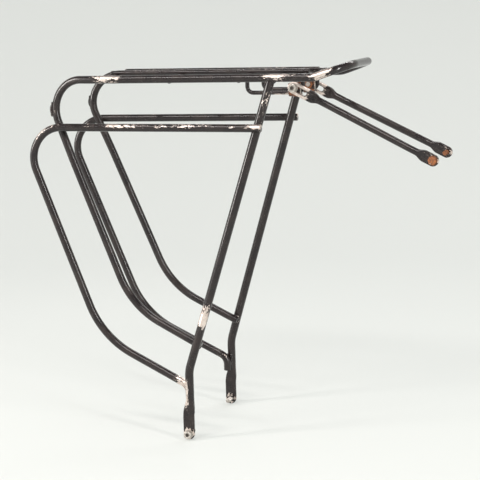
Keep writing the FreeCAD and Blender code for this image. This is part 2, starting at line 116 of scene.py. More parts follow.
# ---------------------------------------------------------------- sizes and finishes a user can change
def length_prop(name, description, default):
    return bpy.props.FloatProperty(name=name, description=description, default=default,
                                   min=0.0, unit="LENGTH", subtype="DISTANCE", precision=5)


def colour_prop(name, description, default):
    return bpy.props.FloatVectorProperty(name=name, description=description, default=default,
                                         size=3, min=0.0, max=1.0, subtype="COLOR")


def share_prop(name, description, default, top=1.0):
    return bpy.props.FloatProperty(name=name, description=description, default=default,
                                   min=0.0, max=top, subtype="FACTOR")


class RACK_PG_sizes(bpy.types.PropertyGroup):
    """Diameters and small sizes of the rack's rods and fixings."""

    hoop_rod: length_prop("Hoop rod", "Diameter of the deck hoop", 8.5 * MM)
    leg_rod: length_prop("Leg rod", "Diameter of the main legs", 9.2 * MM)
    rail_rod: length_prop("Rail rod", "Diameter of the pannier rails and rear stays", 8.5 * MM)
    cross_rod: length_prop("Cross rod", "Diameter of the deck's cross bars", extent("front_cross_bar")[0])
    inner_rod: length_prop("Inner rod", "Diameter of the deck's inner rods", extent("inner_deck_rod_left")[1])
    loop_rod: length_prop("Loop rod", "Diameter of the stay loops", extent("stay_loop_left")[1])
    hook_rod: length_prop("Hook rod", "Diameter of the strap hooks", 3.5 * MM)
    stay_rod: length_prop("Stay rod", "Diameter of the front stays", 7.5 * MM)
    tab_width: length_prop("Tab width", "Width of a flattened rod end", 12.5 * MM)
    tab_thick: length_prop("Tab thickness", "Thickness of a flattened rod end", 3.4 * MM)
    eyelet: length_prop("Eyelet", "Hole in a flattened end", 5.3 * MM)
    thread: length_prop("Thread", "Outside diameter of the screws' threads", 5.0 * MM)
    neck: length_prop("Neck", "Diameter of a screw's plain neck", 4.5 * MM)
    pitch: length_prop("Pitch", "Pitch of the screws' threads", 0.8 * MM)
    bead: length_prop("Weld bead", "Half width of a weld bead on the thicker rods", 1.7 * MM)
    ring_step: length_prop("Ring spacing", "Distance between a rod's rings of points", 2.0 * MM)
    around: bpy.props.IntProperty(name="Points around", description="Points round each rod",
                                  default=48, min=12, max=96)


class RACK_PG_finish(bpy.types.PropertyGroup):
    """Colours and wear of the rack's finishes."""

    paint: colour_prop("Paint", "Gloss black paint", (0.011, 0.0080, 0.0085))
    road_film: colour_prop("Road film", "Dust and road dirt on the paint", (0.115, 0.085, 0.072))
    bare_rod: colour_prop("Bare rod", "Aluminium where the paint has gone", (0.80, 0.70, 0.64))
    steel: colour_prop("Steel", "Dull zinc plated steel", (0.76, 0.72, 0.67))
    rust: colour_prop("Rust", "Rust on the nuts and frame bolts", (0.36, 0.115, 0.030))
    old_rust: colour_prop("Old rust", "Darker, older rust", (0.095, 0.038, 0.022))
    floor: colour_prop("Floor", "Floor and backdrop", (0.420, 0.432, 0.418))
    chip_start: share_prop("Chip start", "Noise level at which sound paint chips", 0.735)
    chip_reach: share_prop("Chip reach", "How far full wear lowers that level", 0.40)


def sizes():
    return bpy.context.scene.rack_sizes


def finish():
    return bpy.context.scene.rack_finish


# ---------------------------------------------------------------- shader maths
class Wire:
    """A shader socket with arithmetic: each operator adds one Math node."""

    def __init__(self, board, socket):
        self.board = board
        self.socket = socket

    def _math(self, operation, first, second):
        return self.board.node("ShaderNodeMath", {"operation": operation}, {0: first, 1: second})

    def __add__(self, other):
        return self._math("ADD", self, other)

    __radd__ = __add__

    def __sub__(self, other):
        return self._math("SUBTRACT", self, other)

    def __rsub__(self, other):
        return self._math("SUBTRACT", other, self)

    def __mul__(self, other):
        return self._math("MULTIPLY", self, other)

    __rmul__ = __mul__

    def ramp(self, start, end):
        """0 below start, 1 above end and smooth between."""
        return self.board.node("ShaderNodeMapRange", {"interpolation_type": "SMOOTHSTEP"},
                               {"Value": self, "From Min": start, "From Max": end})


class Board:
    """One material's node tree."""

    def __init__(self, name):
        self.material = bpy.data.materials.new(name + "_finish")
        self.material.use_nodes = True
        self.tree = self.material.node_tree
        self.tree.nodes.clear()
        self.surface = self.tree.nodes.new("ShaderNodeBsdfPrincipled")
        output = self.tree.nodes.new("ShaderNodeOutputMaterial")
        self.tree.links.new(self.surface.outputs["BSDF"], output.inputs["Surface"])

    def feed(self, node, inputs):
        for key, value in inputs.items():
            if isinstance(value, Wire):
                self.tree.links.new(value.socket, node.inputs[key])
            else:
                node.inputs[key].default_value = value

    def node(self, kind, settings, inputs, output=0):
        """A node of any kind: its settings are set first, then its sockets' values and links."""
        made = self.tree.nodes.new(kind)
        for key, value in settings.items():
            setattr(made, key, value)
        self.feed(made, inputs)
        return Wire(self, made.outputs[output])

    def worn(self):
        """How rubbed each point is, or on fixings how dirty and how deep in painted shade."""
        return self.node("ShaderNodeAttribute", {"attribute_name": "wear"}, {}, "Fac")

    def place(self, stretch=None):
        """Object coordinates or, given a stretch, those of the rod as if it were straight.

        These run along the rod, shortened by the stretch, and then across it.
        """
        if stretch is None:
            return self.node("ShaderNodeTexCoord", {}, {}, "Object")
        run = self.node("ShaderNodeAttribute", {"attribute_name": "run"}, {}, "Vector")
        return self.node("ShaderNodeMapping", {}, {"Vector": run, "Scale": (stretch, 1.0, 1.0)})

    def noise(self, scale, detail, roughness, distortion=0.0, stretch=None):
        return self.node("ShaderNodeTexNoise", {}, {
            "Vector": self.place(stretch), "Scale": scale, "Detail": detail,
            "Roughness": roughness, "Distortion": distortion})

    def spots(self, scale):
        """Distance to the nearest of a scatter of points."""
        return self.node("ShaderNodeTexVoronoi", {}, {"Vector": self.place(), "Scale": scale},
                         "Distance")

    def facing_up(self):
        """1 on faces that look up, 0 on those that look down."""
        normal = self.node("ShaderNodeNewGeometry", {}, {}, "Normal")
        height = self.node("ShaderNodeSeparateXYZ", {}, {"Vector": normal}, "Z")
        return height * 0.5 + 0.5

    def mix(self, factor, first, second):
        """A colour mix: socket 0 is its factor, 6 and 7 its colours and output 2 the result."""
        ends = [end if isinstance(end, Wire) else (*end[:3], 1.0) for end in (first, second)]
        return self.node("ShaderNodeMix", {"data_type": "RGBA"}, {0: factor, 6: ends[0], 7: ends[1]}, 2)

    def bump(self, height, distance, strength=1.0, under=None):
        inputs = {"Height": height, "Distance": distance, "Strength": strength}
        if under is not None:
            inputs["Normal"] = under
        return self.node("ShaderNodeBump", {}, inputs)

    def done(self, **inputs):
        self.feed(self.surface, {key.replace("_", " "): value for key, value in inputs.items()})
        return self.material


def black_paint(b, f):
    """Gloss black paint on aluminium: orange peel, road film, rubbed patches down to bright metal."""
    wear = b.worn()
    # Scuffs are longer along the rod than across it.
    scuff = b.noise(520.0, 6.0, 0.68, 0.4, stretch=0.4)
    patch = b.noise(95.0, 3.0, 0.6, stretch=0.5)
    level = scuff * 0.72 + patch * 0.28
    start = f.chip_start - wear * f.chip_reach
    chip = (level - start).ramp(0.0, 0.035)
    # Fine scratches run along the rod, and only where it is rubbed.
    hair = b.noise(2600.0, 2.0, 0.5, stretch=0.03)
    scratch = (hair + wear * 0.16).ramp(0.70, 0.74) * 0.55
    film_noise = b.noise(60.0, 5.0, 0.62)
    fine_dust = b.noise(900.0, 3.0, 0.6)
    film = film_noise.ramp(0.36, 0.72) * (0.03 + 0.20 * b.facing_up()) * (0.55 + 0.9 * fine_dust)
    painted = b.mix(film, f.paint, f.road_film)
    painted = b.mix(scratch, painted, (0.16, 0.14, 0.13))
    tarnish = b.noise(260.0, 4.0, 0.6).ramp(0.38, 0.68)
    metal = b.mix(tarnish * 0.5, f.bare_rod, (0.42, 0.33, 0.28))
    colour = b.mix(chip, painted, metal)
    smear = b.noise(180.0, 4.0, 0.6, stretch=0.35)
    rough = 0.10 + 0.13 * smear + 0.35 * film + 0.12 * scratch
    rough = rough * (1 - chip) + chip * (0.30 + 0.22 * tarnish)
    peel = b.noise(1500.0, 2.0, 0.5)
    normal = b.bump(peel, 0.00003, 0.22)
    normal = b.bump(1 - chip, 0.00012, 0.7, normal)
    normal = b.bump(hair, 0.00002, 0.12, normal)
    return b.done(Base_Color=colour, Roughness=rough, Metallic=chip, Normal=normal,
                  Coat_Weight=(1 - chip) * (0.30 - 0.26 * film), Coat_Roughness=0.07,
                  Specular_IOR_Level=0.27)


def clip_steel(b, f):
    """Dark painted steel strip: worn bright at the edges and brown with rust in patches."""
    wear = b.worn()
    grain = b.noise(700.0, 6.0, 0.68, 0.5)
    broad = b.noise(170.0, 4.0, 0.6)
    chip = (grain * 0.7 + broad * 0.3 - (0.72 - wear * 0.34)).ramp(0.0, 0.04)
    rusty = (broad + grain * 0.5).ramp(0.66, 0.86)
    paint = b.mix(broad * 0.4, f.paint, f.road_film)
    rust = b.mix(grain.ramp(0.35, 0.65), f.old_rust, f.rust)
    colour = b.mix(rusty, paint, rust)
    colour = b.mix(chip, colour, f.steel)
    rough = 0.34 + 0.42 * rusty - 0.06 * chip + 0.12 * grain
    normal = b.bump(grain, 0.00008, 0.4)
    normal = b.bump(1 - chip, 0.0001, 0.6, normal)
    return b.done(Base_Color=colour, Roughness=rough, Metallic=chip, Normal=normal)


def bright_steel(b, f):
    """Zinc plated steel: mottled, with pinpricks of rust, darkened by dirt and painted shade in the recesses.
    """
    mottle = b.noise(650.0, 5.0, 0.62, 0.3)
    fine = b.noise(3200.0, 3.0, 0.6)
    pin = b.spots(900.0).ramp(0.16, 0.04) * mottle.ramp(0.42, 0.6)
    # On fixings the mask is dirt and painted shade: sockets, bores and the ring round each head are darkened.
    dirt = b.worn()
    colour = b.mix(mottle.ramp(0.3, 0.72), f.steel, (0.43, 0.38, 0.34))
    colour = b.mix(pin * 0.8, colour, f.rust)
    colour = b.mix(dirt * (0.45 + 0.45 * mottle), colour, (0.055, 0.042, 0.034))
    rough = 0.26 + 0.22 * mottle + 0.30 * pin + 0.30 * dirt
    normal = b.bump(mottle * 0.6 + fine * 0.4, 0.00005, 0.5)
    return b.done(Base_Color=colour, Roughness=rough, Metallic=1 - 0.75 * pin, Normal=normal)


def rusty_steel(b, f):
    """Plated steel that has mostly rusted: orange bloom over darker scale, a little plating left."""
    bloom = b.noise(520.0, 7.0, 0.7, 0.7)
    scale = b.noise(1900.0, 5.0, 0.65)
    left = (b.noise(330.0, 4.0, 0.6) - b.worn() * 0.2).ramp(0.60, 0.66)
    rust = b.mix(bloom.ramp(0.36, 0.66), f.old_rust, f.rust)
    rust = b.mix(scale.ramp(0.5, 0.75) * 0.5, rust, (0.55, 0.24, 0.075))
    # Dark old rust and dirt, with painted shade in the bores and round and under the heads, where the mask is
    # high.
    rust = b.mix(b.worn() * (0.5 + 0.5 * bloom), rust, (0.028, 0.013, 0.009))
    colour = b.mix(left, rust, (0.36, 0.30, 0.26))
    rough = 0.88 - 0.45 * left - 0.14 * scale
    normal = b.bump(bloom * 0.5 + scale * 0.5, 0.00016, 0.75)
    return b.done(Base_Color=colour, Roughness=rough, Metallic=left * 0.85, Normal=normal)


def stage_paper(b, f):
    """Matt pale paper for the floor and the backdrop, which also glows: painted light that keeps it bright
    and lights the rack from below.
    """
    tone = b.noise(2.5, 2.0, 0.5)
    tooth = b.noise(420.0, 3.0, 0.6)
    shaded = [0.97 * part for part in f.floor]
    colour = b.mix(tone * 0.25, f.floor, shaded)
    # The paper glows with its own colour: painted light, not a lamp.
    return b.done(Base_Color=colour, Roughness=0.86 + 0.06 * tooth, Normal=b.bump(tooth, 0.00005, 0.2),
                  Specular_IOR_Level=0.15, Emission_Color=colour, Emission_Strength=0.72)


FINISHES = {"black_paint": black_paint, "clip_steel": clip_steel, "bright_steel": bright_steel,
            "rusty_steel": rusty_steel, "stage_paper": stage_paper}


def material(name):
    return bpy.data.materials.get(name + "_finish") or FINISHES[name](Board(name), finish())


# ---------------------------------------------------------------- lines and sections
def unit(vector):
    return vector / np.linalg.norm(vector, axis=-1, keepdims=True)


def full_turn(count):
    """Angles once round a circle."""
    return np.linspace(0, 2 * math.pi, count, endpoint=False)


def superellipse(turn, a, b, n):
    """Points x = a sign(cos t) |cos t|^(2/n) and y = b sign(sin t) |sin t|^(2/n).

    n, the squareness, is 2 for an ellipse and larger for a rounded oblong.
    """
    x = a * np.sign(np.cos(turn)) * np.abs(np.cos(turn)) ** (2.0 / n)
    y = b * np.sign(np.sin(turn)) * np.abs(np.sin(turn)) ** (2.0 / n)
    return x, y


def smooth(value, start, end):
    """0 before start, 1 after end, with a cubic ease between."""
    t = np.clip((value - start) / (end - start), 0.0, 1.0)
    return t * t * (3 - 2 * t)


class Line:
    """A centre line of straight runs joined by tangent arcs.

    An arc of radius R at a corner that turns through 2h starts and ends R tan(h)
    from the corner, and its centre lies R / cos(h) from it, between the two runs.
    """

    FINE = 0.25 * MM

    def __init__(self, points, radii):
        points = [np.array(p, float) for p in points]
        parts = []
        start = points[0]
        for before, corner, after, radius in zip(points, points[1:], points[2:], radii):
            back, ahead = unit(before - corner), unit(after - corner)
            half = (math.pi - math.acos(float(np.clip(back @ ahead, -1, 1)))) / 2
            first = corner + back * radius * math.tan(half)
            centre = corner + unit(back + ahead) * radius / math.cos(half)
            spoke = first - centre
            parts.append(self._run(start, first))
            count = max(4, int(2 * half * radius / self.FINE))
            turn = np.linspace(0, 2 * half, count, endpoint=False)[:, None]
            parts.append(centre + spoke * np.cos(turn) - back * radius * np.sin(turn))
            start = corner + ahead * radius * math.tan(half)
        parts.append(self._run(start, points[-1]))
        parts.append(points[-1][None])
        self.points = np.concatenate(parts)
        hops = np.linalg.norm(np.diff(self.points, axis=0), axis=1)
        self.reach = np.concatenate([[0.0], np.cumsum(hops)])
        self.length = self.reach[-1]

    def _run(self, start, end):
        count = max(2, int(np.linalg.norm(end - start) / self.FINE))
        return start + (end - start) * np.linspace(0, 1, count, endpoint=False)[:, None]

    def at(self, distance):
        return np.stack([np.interp(distance, self.reach, self.points[:, k]) for k in range(3)], -1)

    def heading(self, distance):
        nudge = 0.5 * MM
        return unit(self.at(np.minimum(distance + nudge, self.length))
                    - self.at(np.maximum(distance - nudge, 0)))


def untwisted(headings, across):
    """A direction across each heading that turns as little as it can from ring to ring."""
    result = np.empty_like(headings)
    for index, heading in enumerate(headings):
        across = across - (across @ heading) * heading
        across = across / np.linalg.norm(across)
        result[index] = across
    return result


class Skin:
    """Points and faces of one closed surface, with its straightened coordinates and its wear."""

    def __init__(self, grid, run=None, wear=0.0, endless=False):
        rows, columns = grid.shape[:2]
        self.points = grid.reshape(-1, 3)
        self.run = self.points.copy() if run is None else run.reshape(-1, 3)
        self.wear = np.broadcast_to(wear, grid.shape[:2]).reshape(-1)
        i = np.arange(rows if endless else rows - 1)[:, None]
        j = np.arange(columns)[None, :]
        here, there = i * columns, (i + 1) % rows * columns
        beside = (j + 1) % columns
        quads = np.stack([here + j, here + beside, there + beside, there + j], -1).reshape(-1, 4)
        self.faces = [quads]
        if not endless:
            self.faces += [np.arange(columns)[None, ::-1], (rows - 1) * columns + np.arange(columns)[None]]


def swept(distances, centres, headings, wide, half_wide, half_thick, squareness, around,
          rub, endless=False):
    """A skin through superellipse rings of the given half sizes, one at each centre.

    rub is the wear, or a function of the points and their outward directions.
    """
    thick = np.cross(headings, wide)
    x, y = superellipse(full_turn(around), *(np.broadcast_to(size, len(centres))[:, None]
                                             for size in (half_wide, half_thick, squareness)))
    grid = centres[:, None] + x[..., None] * wide[:, None] + y[..., None] * thick[:, None]
    run = np.stack([np.broadcast_to(distances[:, None], x.shape), x, y], -1)
    wear = rub(grid, unit(grid - centres[:, None])) if callable(rub) else rub
    return Skin(grid, run, wear, endless)


def strung(line, places, across, half_wide, half_thick, squareness, around, rub):
    """Rings swept without twist along a line, at the given distances."""
    headings = line.heading(places)
    return swept(places, line.at(places), headings, untwisted(headings, across),
                 half_wide, half_thick, squareness, around, rub)


def mesh_of(name, skins):
    offsets = np.cumsum([0] + [len(s.points) for s in skins])
    faces = [face for s, offset in zip(skins, offsets) for block in s.faces
             for face in (block + offset).tolist()]
    mesh = bpy.data.meshes.new(name)
    mesh.from_pydata(np.concatenate([s.points for s in skins]).tolist(), [], faces)
    for key, kind, field in (("run", "FLOAT_VECTOR", "vector"), ("wear", "FLOAT", "value")):
        values = np.concatenate([getattr(s, key) for s in skins]).astype(np.float32)
        mesh.attributes.new(key, kind, "POINT").data.foreach_set(field, values.ravel())
    return mesh


def added(name, data):
    obj = bpy.data.objects.new(name, data)
    bpy.context.scene.collection.objects.link(obj)
    return obj


def outward(mesh):
    """Turn every face to point out of the solid it bounds."""
    edit = bmesh.new()
    edit.from_mesh(mesh)
    bmesh.ops.recalc_face_normals(edit, faces=edit.faces)
    edit.to_mesh(mesh)
    edit.free()


def drilled(obj, cutters):
    """Take each cutter's shape out of the object's mesh."""
    for cutter in cutters:
        tool = added("cutter", mesh_of("cutter", [cutter]))
        outward(tool.data)
        modifier = obj.modifiers.new("drill", "BOOLEAN")
        modifier.operation = "DIFFERENCE"
        modifier.solver = "EXACT"
        modifier.object = tool
        evaluated = obj.evaluated_get(bpy.context.evaluated_depsgraph_get())
        holed = bpy.data.meshes.new_from_object(evaluated)
        obj.modifiers.clear()
        obj.data = holed
        bpy.data.meshes.remove(tool.data)


def piece(name, skins, finish_name, body, nodes=(), cutters=(), crease=38.0):
    """A finished piece that rides on its body and stands for the nodes it replaces."""
    mesh = mesh_of(name, skins)
    outward(mesh)
    obj = added(name, mesh)
    drilled(obj, cutters)
    obj.data.name = name
    obj.data.materials.clear()
    obj.data.materials.append(material(finish_name))
    obj.data.shade_smooth()
    obj.data.set_sharp_from_angle(angle=math.radians(crease))
    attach(obj, body)
    if nodes:
        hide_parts(*nodes)
    return obj


def stand_for(node, suffix, skins, cutters=(), crease=38.0):
    return piece(node + suffix, skins, SLOTS[node], frame["nodes"][node]["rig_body"], [node],
                 cutters, crease)


# ---------------------------------------------------------------- rods
END_ROUNDING, TIP_RINGS = 0.7 * MM, 6
# How far a small rod's end goes into the rod it is welded to.
BURIED = 1.5 * MM


def ring_places(length, step, cut):
    """Distances of a rod's rings, and how much each is drawn in by the rounded ends.

    Over each end the inset is c (1 - cos a) and the distance from the end c (1 - sin a).
    A cut end has no rounding, so that a rod carried on by another shows no groove.
    """
    angle = np.linspace(math.pi / 2, 0, TIP_RINGS)
    tips = [(np.zeros(1), np.zeros(1)) if plain
            else (END_ROUNDING * (1 - np.sin(angle)), END_ROUNDING * (1 - np.cos(angle)))
            for plain in cut]
    (near_tip, near_inset), (far_tip, far_inset) = tips
    first, last = near_tip[-1], length - far_tip[-1]
    inner = np.linspace(first, last, max(4, int(length / step)))[1:-1]
    places = np.concatenate([near_tip, inner, length - far_tip[::-1]])
    return places, np.concatenate([near_inset, np.zeros_like(inner), far_inset[::-1]])


def rod_for(node, points, radii, diameter, across, rub, cut=(False, False)):
    """The finished round rod of a node, along its corner points and the radii of its bends."""
    s = sizes()
    line = Line(points, radii)
    places, inset = ring_places(line.length, s.ring_step, cut)
    radius = diameter / 2 - inset
    stand_for(node, "_rod", [strung(line, places, across, radius, radius, 2.0, s.around, rub)])


def near(points, place, reach):
    """How close points are to a place: 1 on it, falling off as a bell of the given reach."""
    return np.exp(-np.sum((points - place) ** 2, -1) / reach**2)


def at_height(start, end, height):
    return start + (end - start) * ((height - start[2]) / (end[2] - start[2]))


def on_side(value, side):
    """A point of the left side, or a list of them, moved to the given side. Numbers stay as they are."""
    if isinstance(value, list):
        return [on_side(item, side) for item in value]
    return value * np.array([1, side, 1]) if isinstance(value, np.ndarray) else value


class Layout:
    """Centre lines of one side, worked out on the left from the frame's boxes."""

    def __init__(self, side):
        s = sizes()
        hoop_low, hoop_high = low("deck_hoop"), high("deck_hoop")
        r = s.hoop_rod / 2
        bar_drop = 0.8 * MM
        self.bar_height = middle("front_cross_bar")[2]
        self.deck_half, self.deck_height = hoop_high[1] - r, self.bar_height + bar_drop
        self.bar_places = {node: middle(node)[0] for node in
                           ("front_cross_bar", "loop_cross_bar", "middle_cross_bar", "rear_cross_bar")}
        bite = 0.5 * MM
        hoop_lap = r + s.rail_rod / 2 - bite
        leg_lap = s.leg_rod / 2 + s.rail_rod / 2 - bite
        back_bend = 33.0 * MM
        self.back_x = hoop_low[0] + r
        back_place = self.back_x + back_bend
        back_lean, rail_lean = 0.41, 0.395
        back_turn = math.pi / 2 + math.atan(back_lean)
        rail_turn = math.pi / 2 + math.atan(rail_lean)
        back_half = 48.5 * MM
        # The hoop's sides run level between the first two places, and the legs meet them at the third.
        level_front, level_back, leg_place = 144.0 * MM, -96.0 * MM, 98.7 * MM

        rail_height = high("pannier_rail_left")[2] - s.rail_rod / 2
        nose_x, nose_z = hoop_high[0] - r, hoop_high[2] - r
        corner = np.array([back_place - back_bend * math.tan(back_turn / 2), back_half,
                           self.deck_height - 0.3 * MM])
        self.hoop_corner = corner

        def stay_point(height, half):
            return np.array([corner[0] + back_lean * (corner[2] - height), half, height])

        self.crossing = stay_point(rail_height, 61.0 * MM)
        spread = (self.crossing[1] - hoop_lap - back_half) / (corner[2] - self.crossing[2])
        split = 320.0 * MM
        self.hoop_end = stay_point(split, back_half + spread * (corner[2] - split))
        self.hoop = [
            np.array([nose_x, 0, nose_z]),
            np.array([nose_x, self.deck_half, nose_z]),
            np.array([level_front, self.deck_half, self.deck_height]),
            np.array([level_back, self.deck_half, self.deck_height]),
            corner,
            self.hoop_end,
        ]
        self.hoop_radii = [33.0 * MM, 25.0 * MM, 80.0 * MM, back_bend]

        foot = middle("foot_washer_left")
        foot_half = low("foot_washer_left")[1] - s.tab_thick / 2
        self.foot = np.array([foot[0], foot_half, foot[2]])
        self.leg_head = np.array([leg_place, self.deck_half, self.deck_height])
        self.leg_corner = np.array([2.0 * MM, foot_half, 71.0 * MM])
        self.round_foot, self.flat_foot = 38.0 * MM, 24.0 * MM

        self.stay_weld = at_height(self.leg_head, self.leg_corner, 98.0 * MM)
        down = unit(self.hoop_end - corner)
        self.rear_stay = [
            self.hoop_end,
            self.hoop_end + down * 25.0 * MM,
            stay_point(136.4 * MM, 62.0 * MM),
            np.array([self.stay_weld[0] + 3.0 * MM, self.stay_weld[1] - leg_lap,
                      self.stay_weld[2] - 1.5 * MM]),
        ]
        self.rear_stay_radii = [200.0 * MM, 95.0 * MM]

        self.rail_weld = at_height(self.leg_head, self.leg_corner, rail_height)
        front = np.array([self.rail_weld[0] + 6.5 * MM, self.rail_weld[1] + leg_lap, rail_height])
        taper = (front[1] - self.crossing[1]) / (front[0] - self.crossing[0])
        rail_bend = 34.7 * MM
        rail_corner_x = -142.8 * MM - rail_bend * math.tan(rail_turn / 2)
        rail_corner = np.array([rail_corner_x,
                                self.crossing[1] - taper * (self.crossing[0] - rail_corner_x),
                                rail_height])

        def outer_point(height, half):
            return np.array([rail_corner[0] + rail_lean * (rail_corner[2] - height), half, height])

        split_point = outer_point(262.0 * MM, rail_corner[1] + 2.0 * MM)
        self.rail = [front, rail_corner, split_point]
        self.rail_radii = [rail_bend]
        step = 3.0 * MM
        end = np.array([self.leg_corner[0] - step,
                        self.leg_corner[1] - math.sqrt(leg_lap**2 - step**2), 36.0 * MM])
        self.outer_stay = [
            split_point,
            split_point + unit(split_point - rail_corner) * 25.0 * MM,
            outer_point(101.4 * MM, 64.8 * MM),
            np.array([end[0], end[1], 51.6 * MM]),
            end,
        ]
        self.outer_stay_radii = [200.0 * MM, 100.0 * MM, 13.0 * MM]

        loop_low, loop_high = low("stay_loop_left"), high("stay_loop_left")
        self.loop_half = middle("stay_loop_left")[1]
        self.loop_height = loop_low[2] + s.loop_rod / 2
        self.loop_ends = (loop_low[0] + s.loop_rod / 2, loop_high[0] - s.loop_rod / 2)
        self.hook = [
            np.array([self.back_x + 1.5 * MM, 52.0 * MM, 363.0 * MM]),
            np.array([self.back_x - 9.2 * MM, 53.0 * MM, 352.5 * MM]),
            np.array([self.back_x + 2.5 * MM, 54.5 * MM, 342.0 * MM]),
        ]

        hinge = JOINTS["stay_swing_left"]["pos_m"]
        self.bolt = np.array([hinge[0], 0.0, hinge[2]])
        slide = np.array(JOINTS["stay_reach_left"]["axis"], float)
        self.down = slide * np.sign(slide[0])
        gap = 0.2 * MM
        self.stay_half = low("clip_washer_left")[1] - gap - s.tab_thick / 2
        self.front_half = low("frame_washer_left")[1] - s.tab_thick / 2
        eye = middle("frame_washer_left")
        self.stay_length = float(np.linalg.norm(np.array([eye[0], 0, eye[2]]) - self.bolt))
        for key, value in vars(self).items():
            setattr(self, key, on_side(value, side))


# ---------------------------------------------------------------- operators
class RackOperator:
    """What every operator of the rack shares."""

    bl_options = {"REGISTER", "UNDO"}


class RACK_OT_deck(RackOperator, bpy.types.Operator):
    """Bend the deck hoop and lay its cross bars and inner rods"""

    bl_idname = "rack.deck"
    bl_label = "Deck"

    def execute(self, context):
        s, g = sizes(), Layout(1)

        def rub(points, outwards):
            up = smooth(outwards[..., 2], -0.3, 0.7)
            out = smooth(np.abs(outwards[..., 1]) * np.sign(points[..., 1] * outwards[..., 1]), -0.2, 0.6)
            right_hand = np.where(points[..., 1] < 0, 1.0, 0.7)

            def patch(place, reach):
                return np.exp(-((points[..., 0] - place) / reach) ** 2)

            along = (0.66 * patch(g.leg_head[0] + 6 * MM, 17 * MM) + 0.80 * patch(152 * MM, 12 * MM)
                     + 0.56 * patch(-84 * MM, 20 * MM) + 0.20 * patch(g.back_x, 14 * MM) + 0.16)
            return along * right_hand * (0.35 + 0.4 * up + 0.35 * out)

        rod_for("deck_hoop", Layout(-1).hoop[:0:-1] + g.hoop[1:], g.hoop_radii[::-1] + g.hoop_radii,
                s.hoop_rod, UP, rub, (True, True))

        def bar_rub(points, outwards):
            return 0.25 * smooth(outwards[..., 2], 0.2, 1.0)

        half = g.deck_half - BURIED
        for node, x in g.bar_places.items():
            rod_for(node, [np.array([x, y, g.bar_height]) for y in (-half, half)], [],
                    s.cross_rod, UP, bar_rub)
        for label, _ in SIDES:
            node = f"inner_deck_rod_{label}"
            y, z = middle(node)[1], high(node)[2] - s.inner_rod / 2
            rod_for(node, [np.array([x, y, z]) for x in (low(node)[0], high(node)[0])], [],
                    s.inner_rod, UP, lambda p, n: 0.45 * smooth(n[..., 2], 0.1, 1.0))
        return {"FINISHED"}


def flattened(distance, length, tab_near, tab_far, taper):
    """How flat a rod is at each distance: 1 over the tabs, easing to 0 over the tapers."""
    flat = np.zeros_like(distance)
    if tab_near:
        flat = np.maximum(flat, 1 - smooth(distance, tab_near, tab_near + taper))
    if tab_far:
        flat = np.maximum(flat, smooth(distance, length - tab_far - taper, length - tab_far))
    return flat


def tabbed_rod(line, diameter, across, tabs, taper, rub):
    """A round rod whose ends are pressed flat and rounded in plan.

    In plan a tab's end is half a circle of its half width w: at w (1 - cos b)
    from the end, the half width is w sin b.
    """
    s = sizes()
    half_tab = s.tab_width / 2
    bend = np.linspace(0.10, math.pi / 2, 22)
    tip = half_tab * (1 - np.cos(bend))
    near_tab, far_tab = tabs
    step = s.ring_step * 0.6
    round_tip = ring_places(line.length, step, (False, False))[0][:TIP_RINGS]
    first = tip if near_tab else round_tip
    last = line.length - (tip if far_tab else round_tip)[::-1]
    inner = np.linspace(first[-1], last[0], max(3, int((last[0] - first[-1]) / step)))[1:-1]
    places = np.concatenate([first, inner, last])
    flat = flattened(places, line.length, near_tab, far_tab, taper)
    wide = diameter / 2 * (1 - flat) + half_tab * flat
    thick = diameter / 2 * (1 - flat) + s.tab_thick / 2 * flat
    for tab, distance in ((near_tab, places), (far_tab, line.length - places)):
        if tab:
            plan = np.sqrt(np.clip(1 - (1 - distance / half_tab) ** 2, 0, 1))
            wide = np.where(distance < half_tab, wide * plan, wide)
            edge = np.clip(distance / (1.3 * MM), 0, 1)
            thick = thick * np.where(edge < 1, np.sqrt(1 - (1 - edge) ** 2) * 0.5 + 0.5, 1)
        else:
            short = np.clip(END_ROUNDING - distance, 0, None)
            inset = END_ROUNDING - np.sqrt(np.clip(END_ROUNDING**2 - short**2, 0, None))
            wide, thick = wide - inset, thick - inset
    return strung(line, places, across, wide, thick, 2 + 4.5 * flat, s.around, rub)


def drill(centre, axis, long_way, radius, depth, slot=0.0):
    """A drill, or a slot mill, whose ends flare to break the hole's edges.

    Its outline is a circle of the given radius, the far half of it carried along the slot.
    """
    side_way = np.cross(axis, long_way)
    broken = 0.35 * MM
    heights = np.array([-3 * depth, -depth, broken - depth, depth - broken, depth, 3 * depth])
    flare = np.clip(np.abs(heights) - depth + broken, 0, None)
    turn = full_turn(56) + math.pi / 56
    radii = radius + flare[:, None]
    x = radii * np.cos(turn) + np.where(np.cos(turn) > 0, slot, 0.0)
    y = radii * np.sin(turn)
    grid = centre + x[..., None] * long_way + y[..., None] * side_way + heights[:, None, None] * axis
    return Skin(grid, None, 0.6)


